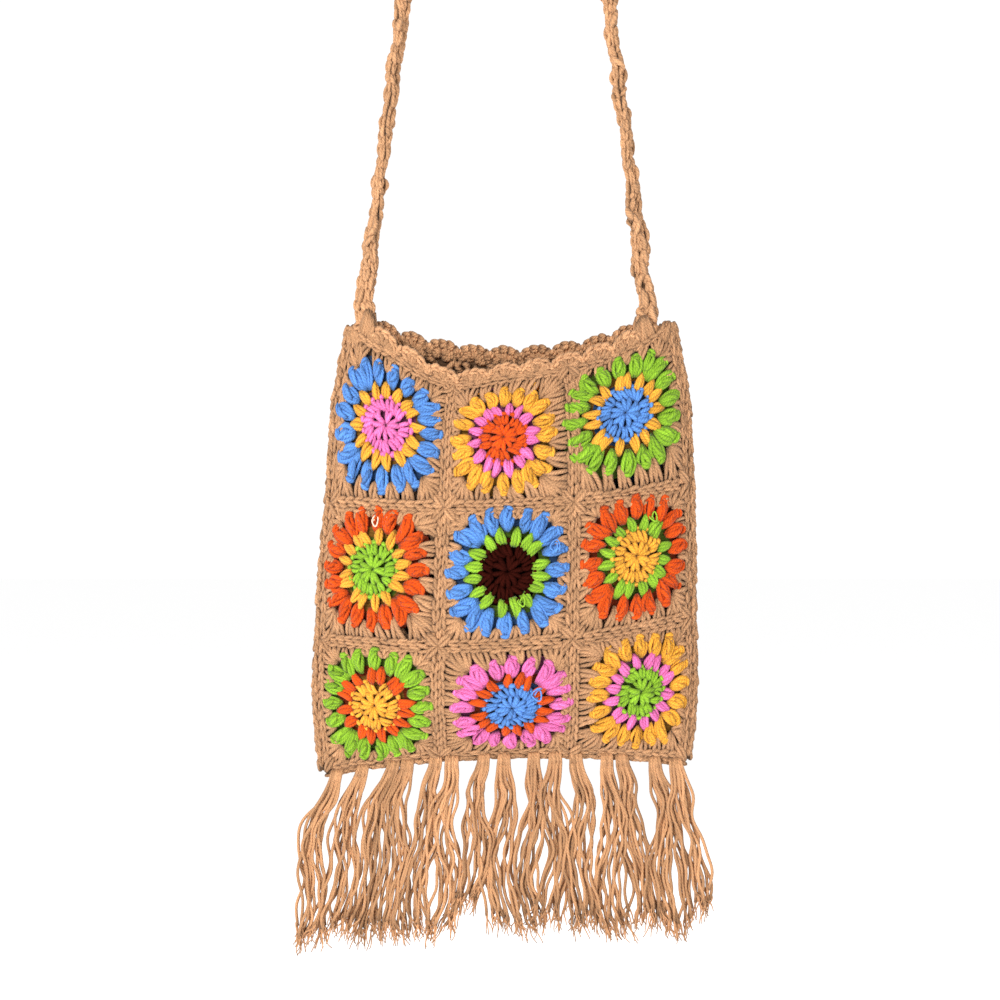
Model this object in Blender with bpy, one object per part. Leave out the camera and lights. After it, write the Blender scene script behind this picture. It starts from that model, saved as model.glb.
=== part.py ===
"""Shoulder bag of crocheted granny squares, hanging by its strap.

Two walls of three by three squares are joined at the sides and the bottom,
with a scalloped mouth, a band for a strap and a fringe of tassels.
X runs to the right, Y to the back and Z up. The origin is under the top of
the strap, where it lies over a peg.
"""

import math

import bpy
import numpy as np

# Driving dimensions of the walls, in metres
SQUARE_SIDE = 0.0905
COLUMNS = 3
ROWS = 3
SIDE_STRETCH = 1.087
SECTION_HALF_TURN = math.radians(40)
FRONT_BULGE = 0.031
BACK_BULGE = 0.023
WALL = 0.004
MEDALLION_WIDTH = 0.080
MEDALLION_SQUARENESS = 2.76
MEDALLION_RELIEF = 0.0012

# Driving dimensions of the edging and the seams
EDGING_BASE = 0.0035
SCALLOP_RISE = 0.0055
SCALLOP_PITCH = 0.0245
SEAM_DIAMETER = 0.006

# Driving dimensions of the strap
STRAP_DROP = 0.535
PEG_RADIUS = 0.026
STRAP_WIDTH = 0.0125
STRAP_THICKNESS = 0.006
STRAP_FOOT_WIDTH = 0.019
STRAP_FOOT_THICKNESS = 0.015
STRAP_FOOT_HEIGHT = 0.022
LEFT_STRAP_SEAT = 0.93
RIGHT_STRAP_SEAT = 0.86

# Driving dimensions of the fringe
FRINGE_LENGTH = 0.122
FRINGE_FOOT_WIDTH = 0.280
KNOT_WIDTH = 0.0085
KNOT_DEPTH = 0.0095
KNOT_HEIGHT = 0.010
KNOT_LOCK_SPREAD = 0.0024
KNOT_LOCK_RADIUS = 0.0018
LOCK_DEPTH = 0.0034
LOCK_STAGGER = 0.0012
FRINGE_SWAY = -0.0045

# Clearance between pieces that touch
GAP = 0.0003

# Numbers of facets
MEDALLION_SIDES = 16
FACETS_PER_SCALLOP = 4
SEAM_POINTS = 9
STRAP_SIDES = 8
STRAND_RINGS = 13
PEG_RINGS = 7

# Shape of the walls down the bag, one line for each course of half a square.
# Row counts squares below the mouth. Down, sag and tilt are shares of the side
# height: the drop at the sides, the further drop at the middle of each wall,
# and the rise of the right side. Width and lean are shares of the half width,
# and the bulges are shares of the front and the back bulge.
COURSE_COLUMNS = ("row", "down", "front_sag", "back_sag", "tilt", "width", "lean", "front", "back")
COURSES = (
    (0.0, 0.000, 0.109, 0.084, 0.004, 0.845, 0.021, 0.66, 0.66),
    (0.5, 0.180, 0.065, 0.052, 0.014, 0.920, 0.019, 0.86, 0.86),
    (1.0, 0.379, 0.026, 0.024, 0.021, 0.950, 0.013, 0.98, 0.98),
    (1.5, 0.533, 0.026, 0.022, 0.026, 0.975, 0.000, 1.00, 1.00),
    (2.0, 0.686, 0.029, 0.022, 0.025, 0.985, -0.008, 0.92, 0.92),
    (2.5, 0.832, 0.022, 0.016, 0.020, 0.995, -0.011, 0.66, 0.66),
    (3.0, 1.000, -0.030, -0.030, 0.013, 0.965, -0.008, 0.00, 0.00),
)

# Turn of the strap's band about its own run, in degrees from lying flat on the
# peg, down each strand. Share counts from the top of the strap to its foot.
TURN_COLUMNS = ("share", "left", "right")
TURNS = (
    (0.00, 0.0, 0.0),
    (0.12, 0.0, 0.0),
    (0.35, 32.0, 64.0),
    (0.58, 92.0, 142.0),
    (0.66, 150.0, 166.0),
    (0.76, 174.0, 180.0),
    (0.88, 200.0, 212.0),
    (0.96, 244.0, 250.0),
    (1.00, 270.0, 270.0),
)

# Tassels from left to right. Place is a share of the half width of the bottom
# seam, and the three tips are shares of the fringe's length.
TASSEL_COLUMNS = ("place", "left_tip", "middle_tip", "right_tip")
TASSELS = (
    (-0.924, 0.95, 0.97, 0.94),
    (-0.766, 0.95, 0.93, 0.91),
    (-0.584, 0.94, 0.98, 0.99),
    (-0.510, 0.97, 0.98, 1.00),
    (-0.358, 1.00, 0.97, 0.98),
    (-0.276, 1.00, 0.98, 0.92),
    (-0.111, 0.86, 0.82, 0.85),
    (-0.008, 0.97, 0.98, 0.99),
    (0.147, 1.00, 0.98, 0.95),
    (0.254, 0.93, 0.92, 0.94),
    (0.363, 0.97, 0.98, 0.98),
    (0.530, 0.98, 0.98, 0.98),
    (0.614, 0.95, 0.93, 0.94),
    (0.802, 0.92, 0.96, 0.96),
    (0.934, 0.95, 0.86, 0.83),
)

# Knot of a tassel from its top down: rise as a share of the knot's height, and
# shares of the knot's width and depth.
KNOT_LEVELS = (
    (0.50, 0.55, 0.55),
    (0.18, 1.00, 1.00),
    (-0.28, 0.98, 0.98),
    (-0.52, 0.74, 0.70),
)

# Locks below the point where they part: share of the fringe's length and fullness.
LOCK_LEVELS = ((0.40, 0.95), (0.70, 1.00), (0.93, 0.85), (1.00, 0.35))
LOCK_PARTING = 0.17

# Angles of the outer points of the locks seen from above, clockwise, in degrees.
LEFT_LOBE = (240, 200, 160, 120)
MIDDLE_LOBE = (210, 150, 90, 30, 330, 270)
RIGHT_LOBE = (60, 20, 340, 300)
LOBE_SPACING = 0.60
LOBE_FURROW = 0.72

# Colours of the rounds of each square, from the outer round inwards
MEDALLION_ROUNDS = (
    (("blue", "yellow", "pink"), ("yellow", "pink", "orange"), ("green", "yellow", "blue")),
    (("orange", "yellow", "green"), ("blue", "green", "maroon"), ("orange", "green", "yellow")),
    (("green", "orange", "yellow"), ("pink", "orange", "blue"), ("yellow", "pink", "green")),
)

# Yarn colours, linear red, green and blue
YARNS = {
    "tan": (0.50, 0.29, 0.15),
    "fringe": (0.62, 0.36, 0.17),
    "blue": (0.09, 0.28, 0.78),
    "pink": (0.86, 0.17, 0.50),
    "yellow": (0.95, 0.50, 0.04),
    "orange": (0.85, 0.10, 0.01),
    "green": (0.22, 0.44, 0.03),
    "maroon": (0.03, 0.002, 0.002),
}
YARN_ROUGHNESS = 0.9

FRONT = -1
BACK = 1

FLAT_WIDTH = COLUMNS * SQUARE_SIDE
HALF_WIDTH = 0.5 * FLAT_WIDTH * math.sin(SECTION_HALF_TURN) / SECTION_HALF_TURN
SIDE_HEIGHT = ROWS * SQUARE_SIDE * SIDE_STRETCH
EDGE_DEPTH = 0.5 * (WALL + GAP)
HALF_GAP = 0.5 * GAP / SQUARE_SIDE


def smooth_read(table, columns, name, key):
    """Cubic curve through one column of a table, whose first column is the key."""
    keys = [line[0] for line in table]
    values = [line[columns.index(name)] for line in table]
    slopes = []
    for index in range(len(keys)):
        before = max(index - 1, 0)
        after = min(index + 1, len(keys) - 1)
        slopes.append((values[after] - values[before]) / (keys[after] - keys[before]))
    if key <= keys[0]:
        return values[0] + slopes[0] * (key - keys[0])
    if key >= keys[-1]:
        return values[-1] + slopes[-1] * (key - keys[-1])
    last = max(index for index in range(len(keys)) if keys[index] <= key)
    step = keys[last + 1] - keys[last]
    t = (key - keys[last]) / step
    return (
        values[last] * (2 * t**3 - 3 * t**2 + 1)
        + slopes[last] * step * (t**3 - 2 * t**2 + t)
        + values[last + 1] * (3 * t**2 - 2 * t**3)
        + slopes[last + 1] * step * (t**3 - t**2)
    )


def course(name, row):
    """Value of one column of the courses at a height in squares below the mouth."""
    return smooth_read(COURSES, COURSE_COLUMNS, name, row)


def wall_middle(side, column, row):
    """Point midway through a wall, column squares right of its middle and row below the mouth.

    Each level section is an arc of a circle whose ends lie at the side seams.
    """
    across = column / (0.5 * COLUMNS)
    turn = SECTION_HALF_TURN
    arch = (math.cos(turn * across) - math.cos(turn)) / (1 - math.cos(turn))
    bulge = FRONT_BULGE * course("front", row) if side == FRONT else BACK_BULGE * course("back", row)
    sag = course("front_sag", row) if side == FRONT else course("back_sag", row)
    x = HALF_WIDTH * (course("width", row) * math.sin(turn * across) / math.sin(turn) + course("lean", row))
    drop = course("down", row) + sag * (1 - across**2) - course("tilt", row) * across
    return np.array((x, side * (EDGE_DEPTH + bulge * arch), -STRAP_DROP - SIDE_HEIGHT * drop))


def wall_point(side, column, row, lift=0.0):
    """Point of a wall moved out along its outward normal by lift."""
    step = 0.01
    along = wall_middle(side, column + step, row) - wall_middle(side, column - step, row)
    down = wall_middle(side, column, row + step) - wall_middle(side, column, row - step)
    normal = side * np.cross(along, down)
    return wall_middle(side, column, row) + lift * normal / np.linalg.norm(normal)


def yarn_material(name):
    """Matt yarn of one of the named colours."""
    material = bpy.data.materials.get("yarn_" + name) or bpy.data.materials.new("yarn_" + name)
    material.use_nodes = True
    shader = material.node_tree.nodes["Principled BSDF"]
    shader.inputs["Base Color"].default_value = (*YARNS[name], 1.0)
    shader.inputs["Roughness"].default_value = YARN_ROUGHNESS
    shader.inputs["Metallic"].default_value = 0.0
    material.diffuse_color = (*YARNS[name], 1.0)
    return material


def add_solid(name, points, faces, yarn, parts, parent):
    """Closed mesh whose object stands at the middle of its points."""
    points = np.array(points)
    middle = 0.5 * (points.min(axis=0) + points.max(axis=0))
    mesh = bpy.data.meshes.new(name)
    mesh.from_pydata([tuple(point) for point in points - middle], [], faces)
    mesh.validate()
    mesh.materials.append(yarn_material(yarn))
    mesh.shade_smooth()
    mesh.set_sharp_from_angle(angle=math.radians(50))
    solid = bpy.data.objects.new(name, mesh)
    solid.location = middle
    solid.parent = parent
    parts.objects.link(solid)
    return solid


def loft_wall(rows, closed):
    """Points and faces of a wall from its rows of (outer, inner) point pairs.

    Closed rows run round, as round a hole. A first row of one pair is a middle
    point that the next row fans out from. The rows run so that the outer faces
    turn outwards.
    """
    points = []
    starts = []
    for row in rows:
        starts.append(len(points))
        for outer, inner in row:
            points.append(outer)
            points.append(inner)
    faces = []
    count = len(rows[-1])
    reach = count if closed else count - 1
    for level in range(len(rows) - 1):
        for index in range(reach):
            after = (index + 1) % count
            a, b = starts[level + 1] + 2 * index, starts[level + 1] + 2 * after
            if len(rows[level]) == 1:
                centre = starts[level]
                faces.append((centre, a, b))
                faces.append((centre + 1, b + 1, a + 1))
                continue
            c, d = starts[level] + 2 * after, starts[level] + 2 * index
            faces.append((d, a, b, c))
            faces.append((d + 1, c + 1, b + 1, a + 1))
    last = starts[-1]
    for index in range(reach):
        a, b = last + 2 * index, last + 2 * ((index + 1) % count)
        faces.append((a, a + 1, b + 1, b))
    if len(rows[0]) > 1:
        for index in range(reach):
            a, b = starts[0] + 2 * index, starts[0] + 2 * ((index + 1) % count)
            faces.append((a, b, b + 1, a + 1))
    if not closed:
        for level in range(len(rows) - 1):
            a, b = starts[level], starts[level + 1]
            faces.append((a, a + 1, b + 1, b))
            a, b = a + 2 * (count - 1), b + 2 * (count - 1)
            faces.append((a, b, b + 1, a + 1))
    return points, faces


def wall_pair(side, column, row, relief=0.0):
    """Outer and inner point of a wall, the outer raised by a relief."""
    return (
        wall_point(side, column, row, 0.5 * WALL + relief),
        wall_point(side, column, row, -0.5 * WALL),
    )


def medallion_reach(angle):
    """Distance from a medallion's middle to its rounded-square outline, in squares."""
    cosine, sine = abs(math.cos(angle)), abs(math.sin(angle))
    power = MEDALLION_SQUARENESS
    return 0.5 * MEDALLION_WIDTH / SQUARE_SIDE / (cosine**power + sine**power) ** (1 / power)


def square_reach(angle):
    """Distance from a square's middle to its straight edge, in squares."""
    return 0.5 / max(abs(math.cos(angle)), abs(math.sin(angle)))


def ring_pairs(side, column, row, reach, share, inset, relief=0.0):
    """Wall pairs round a square's middle, at a share of a reach less an inset, in squares."""
    pairs = []
    for index in range(MEDALLION_SIDES):
        angle = 2 * math.pi * index / MEDALLION_SIDES
        distance = share * reach(angle) - inset
        across = distance * math.cos(angle)
        down = side * distance * math.sin(angle)
        pairs.append(wall_pair(side, column + across, row + down, relief))
    return pairs


def make_square(side, column, row, name, parts, parent):
    """Tan border of a granny square, from its medallion out to its joins."""
    inner = ring_pairs(side, column, row, medallion_reach, 1.0, -HALF_GAP)
    outer = ring_pairs(side, column, row, square_reach, 1.0, 1.5 * HALF_GAP)
    points, faces = loft_wall([inner, outer], True)
    return add_solid("square_" + name, points, faces, "tan", parts, parent)


def make_medallion(side, column, row, name, rounds, parts, parent):
    """Coloured rounds of a granny square: a raised middle, a furrow and a raised ring."""
    rows = [[wall_pair(side, column, row, 0.8 * MEDALLION_RELIEF)]]
    for share, rise in ((0.38, 0.5), (0.72, 1.0), (1.0, 0.0)):
        inset = HALF_GAP if share == 1.0 else 0.0
        rows.append(ring_pairs(side, column, row, medallion_reach, share, inset, rise * MEDALLION_RELIEF))
    points, faces = loft_wall(rows, True)
    return add_solid("medallion_" + name, points, faces, rounds[0], parts, parent)


def make_walls(parts, parent):
    """Both walls. Columns are counted from the left as one faces each wall from outside."""
    for side, label in ((FRONT, "front"), (BACK, "back")):
        for row in range(ROWS):
            for column in range(COLUMNS):
                name = f"{label}_{row + 1}_{column + 1}"
                across = -side * (column - 0.5 * (COLUMNS - 1))
                rounds = MEDALLION_ROUNDS[row % 3][column % 3]
                make_square(side, across, row + 0.5, name, parts, parent)
                make_medallion(side, across, row + 0.5, name, rounds, parts, parent)


def across_at_share(share):
    """Place across a wall, in squares, whose distance from the middle is a share of the half width."""
    return 0.5 * COLUMNS * math.asin(share * math.sin(SECTION_HALF_TURN)) / SECTION_HALF_TURN


def foot_reach(seat_share):
    """Shares of the mouth's half width at the inner edge of a strap foot on its seat."""
    mouth_half_width = HALF_WIDTH * course("width", 0.0)
    return seat_share - 0.5 * STRAP_FOOT_WIDTH / mouth_half_width


def make_edging(side, name, parts, parent):
    """Scalloped edging along the mouth, between the two feet of the strap."""
    clear = 3 * GAP / (HALF_WIDTH * course("width", 0.0))
    start = -across_at_share(foot_reach(LEFT_STRAP_SEAT) - clear)
    end = across_at_share(foot_reach(RIGHT_STRAP_SEAT) - clear)
    scallops = max(1, round((end - start) * SQUARE_SIDE / SCALLOP_PITCH))
    facets = scallops * FACETS_PER_SCALLOP
    bottom = []
    top = []
    for index in range(facets + 1):
        share = index / facets
        column = start + (end - start) * share
        rise = EDGING_BASE + SCALLOP_RISE * abs(math.sin(math.pi * scallops * share))
        bottom.append(wall_pair(side, column, -GAP / SQUARE_SIDE))
        top.append(wall_pair(side, column, -rise / SQUARE_SIDE))
    rows = [bottom, top] if side == BACK else [top, bottom]
    points, faces = loft_wall(rows, False)
    return add_solid(name, points, faces, "tan", parts, parent)


def make_seam(name, route, parts, parent):
    """Round bead of crochet along a route."""
    curve = bpy.data.curves.new(name, "CURVE")
    curve.dimensions = "3D"
    curve.bevel_depth = 0.5 * SEAM_DIAMETER
    curve.bevel_resolution = 2
    curve.use_fill_caps = True
    spline = curve.splines.new("POLY")
    spline.points.add(len(route) - 1)
    origin = route[len(route) // 2]
    for point, place in zip(spline.points, route):
        point.co = (*(place - origin), 1.0)
    curve.materials.append(yarn_material("tan"))
    seam = bpy.data.objects.new(name, curve)
    seam.location = origin
    seam.parent = parent
    parts.objects.link(seam)
    return seam


def side_seam_point(hand, row):
    """Middle of a side seam, beside the outer corners of both walls."""
    column = 0.5 * COLUMNS * hand
    corners = [wall_point(side, column, row, 0.5 * WALL) for side in (FRONT, BACK)]
    reach = max(hand * corner[0] for corner in corners) + GAP + 0.5 * SEAM_DIAMETER
    return np.array((hand * reach, 0.0, corners[0][2]))


def bottom_seam_point(across):
    """Middle of the bottom seam, under the outer corners of both walls."""
    column = 0.5 * COLUMNS * across
    corners = [wall_point(side, column, ROWS, 0.5 * WALL) for side in (FRONT, BACK)]
    level = min(corner[2] for corner in corners) - GAP - 0.5 * SEAM_DIAMETER
    return np.array((corners[0][0], 0.0, level))


def make_seams(parts, parent):
    """Joins of the two walls at the sides and the bottom."""
    for hand, name in ((-1, "side_seam_left"), (1, "side_seam_right")):
        rows = np.linspace(ROWS, 0.0, SEAM_POINTS)
        make_seam(name, [side_seam_point(hand, row) for row in rows], parts, parent)
    places = np.linspace(-1.0, 1.0, SEAM_POINTS)
    make_seam("bottom_seam", [bottom_seam_point(place) for place in places], parts, parent)


def mouth_level(x):
    """Height of the higher wall's edge at the mouth over a place along X."""
    half_width = HALF_WIDTH * course("width", 0.0)
    share = (x - HALF_WIDTH * course("lean", 0.0)) / half_width
    column = across_at_share(share)
    edges = []
    for side in (FRONT, BACK):
        for lift in (-0.5 * WALL, 0.5 * WALL):
            edges.append(wall_point(side, column, 0.0, lift)[2])
    return max(edges)


def strand_points(hand, foot):
    """Middle line of one strand from the top of the peg to the strap's foot.

    A quarter turn or so round the peg runs into the straight line from the
    peg's tangent point to the foot. Each entry is a point, the direction of
    the run and the distance run.
    """
    radius = PEG_RADIUS + 0.5 * STRAP_THICKNESS
    centre = np.array((0.0, 0.0, -PEG_RADIUS))
    offset = np.array((hand * foot[0], foot[2] - centre[2]))
    distance = math.hypot(*offset)
    tangent_turn = math.pi / 2 - math.atan2(offset[1], offset[0]) - math.acos(radius / distance)
    tangent_turn = max(0.1, tangent_turn)
    entries = []
    for index in range(PEG_RINGS):
        turn = tangent_turn * index / PEG_RINGS
        point = centre + radius * np.array((hand * math.sin(turn), 0.0, math.cos(turn)))
        run = np.array((hand * math.cos(turn), 0.0, -math.sin(turn)))
        entries.append((point, run, radius * turn))
    start = centre + radius * np.array((hand * math.sin(tangent_turn), 0.0, math.cos(tangent_turn)))
    length = np.linalg.norm(foot - start)
    run = (foot - start) / length
    for index in range(STRAND_RINGS):
        along = length * index / (STRAND_RINGS - 1)
        entries.append((start + run * along, run, radius * tangent_turn + along))
    return entries


def strap_section(point, run, turn, width, thickness):
    """Ring of points of the band's rounded section, wide along its turned direction."""
    flat = np.array((0.0, 1.0, 0.0))
    upright = np.cross(run, flat)
    across = math.cos(turn) * flat + math.sin(turn) * upright
    through = np.cross(across, run)
    ring = []
    for index in range(STRAP_SIDES):
        angle = -2 * math.pi * (index + 0.5) / STRAP_SIDES
        squared = 1.0 / max(abs(math.cos(angle)), abs(math.sin(angle))) ** 0.6
        ring.append(
            point
            + across * 0.5 * width * squared * math.cos(angle)
            + through * 0.5 * thickness * squared * math.sin(angle)
        )
    return ring


def link_rings(faces, upper, lower):
    """Quads between two rings of point numbers of equal counts."""
    for index in range(len(upper)):
        after = (index + 1) % len(upper)
        faces.append((upper[index], upper[after], lower[after], lower[index]))


def cap_ring(points, faces, ring, starts):
    """Fan over a ring of point numbers, at the start or the end of a tube."""
    middle = len(points)
    points.append(np.mean([points[number] for number in ring], axis=0))
    for index in range(len(ring)):
        a, b = ring[index], ring[(index + 1) % len(ring)]
        faces.append((middle, b, a) if starts else (middle, a, b))


def add_ring(points, ring):
    """Numbers of a ring's points, which join the list of points."""
    first = len(points)
    points.extend(ring)
    return list(range(first, first + len(ring)))


def loft_tube(rings):
    """Points and faces of a closed tube through rings of equal counts, with flat fans at both ends."""
    points = []
    faces = []
    numbers = [add_ring(points, ring) for ring in rings]
    for upper, lower in zip(numbers, numbers[1:]):
        link_rings(faces, upper, lower)
    cap_ring(points, faces, numbers[0], True)
    cap_ring(points, faces, numbers[-1], False)
    return points, faces


def strap_foot(hand):
    """Middle of a strap foot, on the edge of the mouth at its seat."""
    seat = LEFT_STRAP_SEAT if hand < 0 else RIGHT_STRAP_SEAT
    x = HALF_WIDTH * (course("lean", 0.0) + hand * seat * course("width", 0.0))
    return np.array((x, 0.0, mouth_level(x) + 1.5 * GAP))


def strand_rings(hand):
    """Rings of one strand from the top of the peg down to its foot on the mouth."""
    foot = strap_foot(hand)
    neck = foot + np.array((0.0, 0.0, STRAP_FOOT_HEIGHT))
    entries = strand_points(hand, neck)
    total = entries[-1][2]
    rings = []
    for point, run, distance in entries:
        degrees = smooth_read(TURNS, TURN_COLUMNS, "left" if hand < 0 else "right", distance / total)
        travel = hand * run
        rings.append(strap_section(point, travel, math.radians(degrees), STRAP_WIDTH, STRAP_THICKNESS))
    upward = np.array((0.0, 0.0, -1.0 * hand))
    last_turn = math.radians(TURNS[-1][TURN_COLUMNS.index("left")])
    sole = strap_section(foot, upward, last_turn, STRAP_FOOT_WIDTH, STRAP_FOOT_THICKNESS)
    for point in sole:
        point[2] = mouth_level(point[0]) + 1.5 * GAP
    rings.append(sole)
    return rings


def make_strap(parts, parent):
    """Crocheted band from the left foot over the peg to the right foot."""
    left = strand_rings(-1)
    right = strand_rings(1)
    points, faces = loft_tube(left[:0:-1] + right)
    return add_solid("strap", points, faces, "tan", parts, parent)


def lobe_ring(middle, angles, radius, depth):
    """Points round a lock's middle at angles in degrees, clockwise from above."""
    ring = []
    for angle in angles:
        turn = math.radians(angle)
        ring.append(middle + np.array((radius * math.cos(turn), depth * math.sin(turn), 0.0)))
    return ring


def fused_ring(middle, half_width, depth):
    """Outline of three locks side by side where they are still one body."""
    spacing = LOBE_SPACING * half_width
    radius = half_width - spacing
    left = lobe_ring(middle - np.array((spacing, 0.0, 0.0)), LEFT_LOBE, radius, depth)
    right = lobe_ring(middle + np.array((spacing, 0.0, 0.0)), RIGHT_LOBE, radius, depth)
    furrow = LOBE_FURROW * depth
    front_left, front_middle, front_right = (
        middle + np.array(offset)
        for offset in ((-0.5 * spacing, -furrow, 0.0), (0.0, -depth, 0.0), (0.5 * spacing, -furrow, 0.0))
    )
    back_left, back_middle, back_right = (
        middle + np.array(offset)
        for offset in ((-0.5 * spacing, furrow, 0.0), (0.0, depth, 0.0), (0.5 * spacing, furrow, 0.0))
    )
    return [front_left, *left, back_left, back_middle, back_right, *right, front_right, front_middle]


def make_tassel(index, parts, parent):
    """Tassel hung from the bottom seam: a knot whose yarn parts into three locks."""
    line = dict(zip(TASSEL_COLUMNS, TASSELS[index]))
    reach = 0.5 * KNOT_WIDTH / HALF_WIDTH
    seats = [bottom_seam_point(line["place"] + side * reach) for side in (-1, 0, 1)]
    level = min(seat[2] for seat in seats) - 0.5 * SEAM_DIAMETER - 1.5 * GAP
    knot = np.array((seats[1][0], 0.0, level - 0.5 * KNOT_HEIGHT))
    pitch = FRINGE_FOOT_WIDTH / len(TASSELS)
    foot = FRINGE_SWAY + (index - 0.5 * (len(TASSELS) - 1)) * pitch
    tip_radius = pitch / 6 - GAP
    points = []
    faces = []
    rings = []
    for rise, width, depth in KNOT_LEVELS:
        middle = knot + np.array((0.0, 0.0, rise * KNOT_HEIGHT))
        ring = fused_ring(middle, 0.5 * KNOT_WIDTH * width, 0.5 * KNOT_DEPTH * depth)
        rings.append(add_ring(points, ring))
    sway = np.array((foot - knot[0], 0.0, -FRINGE_LENGTH))
    half_width = 0.5 * KNOT_WIDTH + (0.5 * pitch - GAP - 0.5 * KNOT_WIDTH) * LOCK_PARTING
    rings.append(add_ring(points, fused_ring(knot + sway * LOCK_PARTING, half_width, LOCK_DEPTH)))
    for upper, lower in zip(rings, rings[1:]):
        link_rings(faces, upper, lower)
    cap_ring(points, faces, rings[0], True)
    fork = rings[-1]
    starts = {
        "left_tip": (fork[0:6], (300, *LEFT_LOBE, 60), -1),
        "middle_tip": ([fork[0], fork[5], fork[6], fork[7], fork[12], fork[13]], MIDDLE_LOBE, 0),
        "right_tip": ([fork[12], fork[7], *fork[8:12]], (240, 120, *RIGHT_LOBE), 1),
    }
    for label, (upper, angles, place) in starts.items():
        for share, fullness in LOCK_LEVELS:
            spacing = (1 - share) * KNOT_LOCK_SPREAD + share * pitch / 3
            radius = ((1 - share) * KNOT_LOCK_RADIUS + share * tip_radius) * fullness
            drop = share * line[label]
            shift = np.array((sway[0] * share + place * spacing, 0.0, sway[2] * drop))
            shift[1] = LOCK_STAGGER * share * (1 if place == 0 else -1)
            lower = add_ring(points, lobe_ring(knot + shift, angles, radius, LOCK_DEPTH * fullness))
            link_rings(faces, upper, lower)
            upper = lower
        cap_ring(points, faces, upper, False)
    return add_solid(f"tassel_{index + 1:02d}", points, faces, "fringe", parts, parent)


def new_collection(name):
    """Empty collection in the scene."""
    collection = bpy.data.collections.new(name)
    bpy.context.scene.collection.children.link(collection)
    return collection


def main():
    """Build every piece of the bag."""
    for old in list(bpy.data.objects):
        bpy.data.objects.remove(old, do_unlink=True)
    parts = new_collection("granny_square_bag")
    hang_point = bpy.data.objects.new("hang_point", None)
    parts.objects.link(hang_point)
    make_walls(parts, hang_point)
    make_edging(FRONT, "edging_front", parts, hang_point)
    make_edging(BACK, "edging_back", parts, hang_point)
    make_seams(parts, hang_point)
    make_strap(parts, hang_point)
    for index in range(len(TASSELS)):
        make_tassel(index, parts, hang_point)


main()
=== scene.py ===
"""Looks of a crocheted granny-square shoulder bag: every stitch, the strap, the fringe and the stage."""

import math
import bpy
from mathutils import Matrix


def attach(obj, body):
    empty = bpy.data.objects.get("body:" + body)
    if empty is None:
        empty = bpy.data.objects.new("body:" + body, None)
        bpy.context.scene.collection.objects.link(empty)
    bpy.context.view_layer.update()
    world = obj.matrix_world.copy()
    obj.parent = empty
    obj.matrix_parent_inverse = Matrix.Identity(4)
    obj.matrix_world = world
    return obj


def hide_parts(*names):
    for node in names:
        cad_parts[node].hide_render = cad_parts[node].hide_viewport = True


bl_info = {
    "name": "Granny Square Bag",
    "version": (1, 0, 0),
    "blender": (4, 5, 0),
    "location": "View3D > Sidebar > Bag",
    "description": "Works the stitches, strap, edging and fringe of a crocheted bag, and its stage",
    "category": "Add Mesh",
}

import bpy
import numpy as np

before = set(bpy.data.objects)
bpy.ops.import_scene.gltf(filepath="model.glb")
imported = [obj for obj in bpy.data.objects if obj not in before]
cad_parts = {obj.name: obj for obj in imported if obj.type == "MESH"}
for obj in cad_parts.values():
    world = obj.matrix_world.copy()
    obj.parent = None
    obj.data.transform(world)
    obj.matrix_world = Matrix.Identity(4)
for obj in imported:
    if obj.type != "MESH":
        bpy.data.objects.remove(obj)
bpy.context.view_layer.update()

FRONT = -1
BACK = 1
COLUMNS = 3
ROWS = 3

# Sizes of the walls, in metres, as the solids have them
SQUARE_SIDE = 0.0905
SIDE_STRETCH = 1.087
SECTION_HALF_TURN = math.radians(40)
BULGES = {FRONT: 0.031, BACK: 0.023}
WALL_EDGE_DEPTH = 0.00215
HALF_WIDTH = 0.5 * COLUMNS * SQUARE_SIDE * math.sin(SECTION_HALF_TURN) / SECTION_HALF_TURN
SIDE_HEIGHT = ROWS * SQUARE_SIDE * SIDE_STRETCH

# Sizes of the strap, as the solids have them
STRAP_DROP = 0.535
PEG_RADIUS = 0.026
STRAP_THICKNESS = 0.006
STRAP_FOOT_HEIGHT = 0.022
STRAP_SEATS = {-1: 0.93, 1: 0.86}

# Sizes of the fringe, as the solids have them
FRINGE_LENGTH = 0.122
FRINGE_FOOT_WIDTH = 0.280
FRINGE_SWAY = -0.0045

# Shape of the walls down the bag, as the solids have it: drops are shares of
# the side height, widths and leans of the half width, bulges of each bulge.
COURSE_COLUMNS = ("row", "down", "front_sag", "back_sag", "tilt", "width", "lean", "bulge")
COURSES = (
    (0.0, 0.000, 0.109, 0.084, 0.004, 0.845, 0.021, 0.66),
    (0.5, 0.180, 0.065, 0.052, 0.014, 0.920, 0.019, 0.86),
    (1.0, 0.379, 0.026, 0.024, 0.021, 0.950, 0.013, 0.98),
    (1.5, 0.533, 0.026, 0.022, 0.026, 0.975, 0.000, 1.00),
    (2.0, 0.686, 0.029, 0.022, 0.025, 0.985, -0.008, 0.92),
    (2.5, 0.832, 0.022, 0.016, 0.020, 0.995, -0.011, 0.66),
    (3.0, 1.000, -0.030, -0.030, 0.013, 0.965, -0.008, 0.00),
)

# Turn of the strap's band down each strand, in degrees from flat on the peg
TURN_COLUMNS = ("share", "left", "right")
TURNS = (
    (0.00, 0.0, 0.0),
    (0.12, 0.0, 0.0),
    (0.35, 32.0, 64.0),
    (0.58, 92.0, 142.0),
    (0.66, 150.0, 166.0),
    (0.76, 174.0, 180.0),
    (0.88, 200.0, 212.0),
    (0.96, 244.0, 250.0),
    (1.00, 270.0, 270.0),
)

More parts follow.
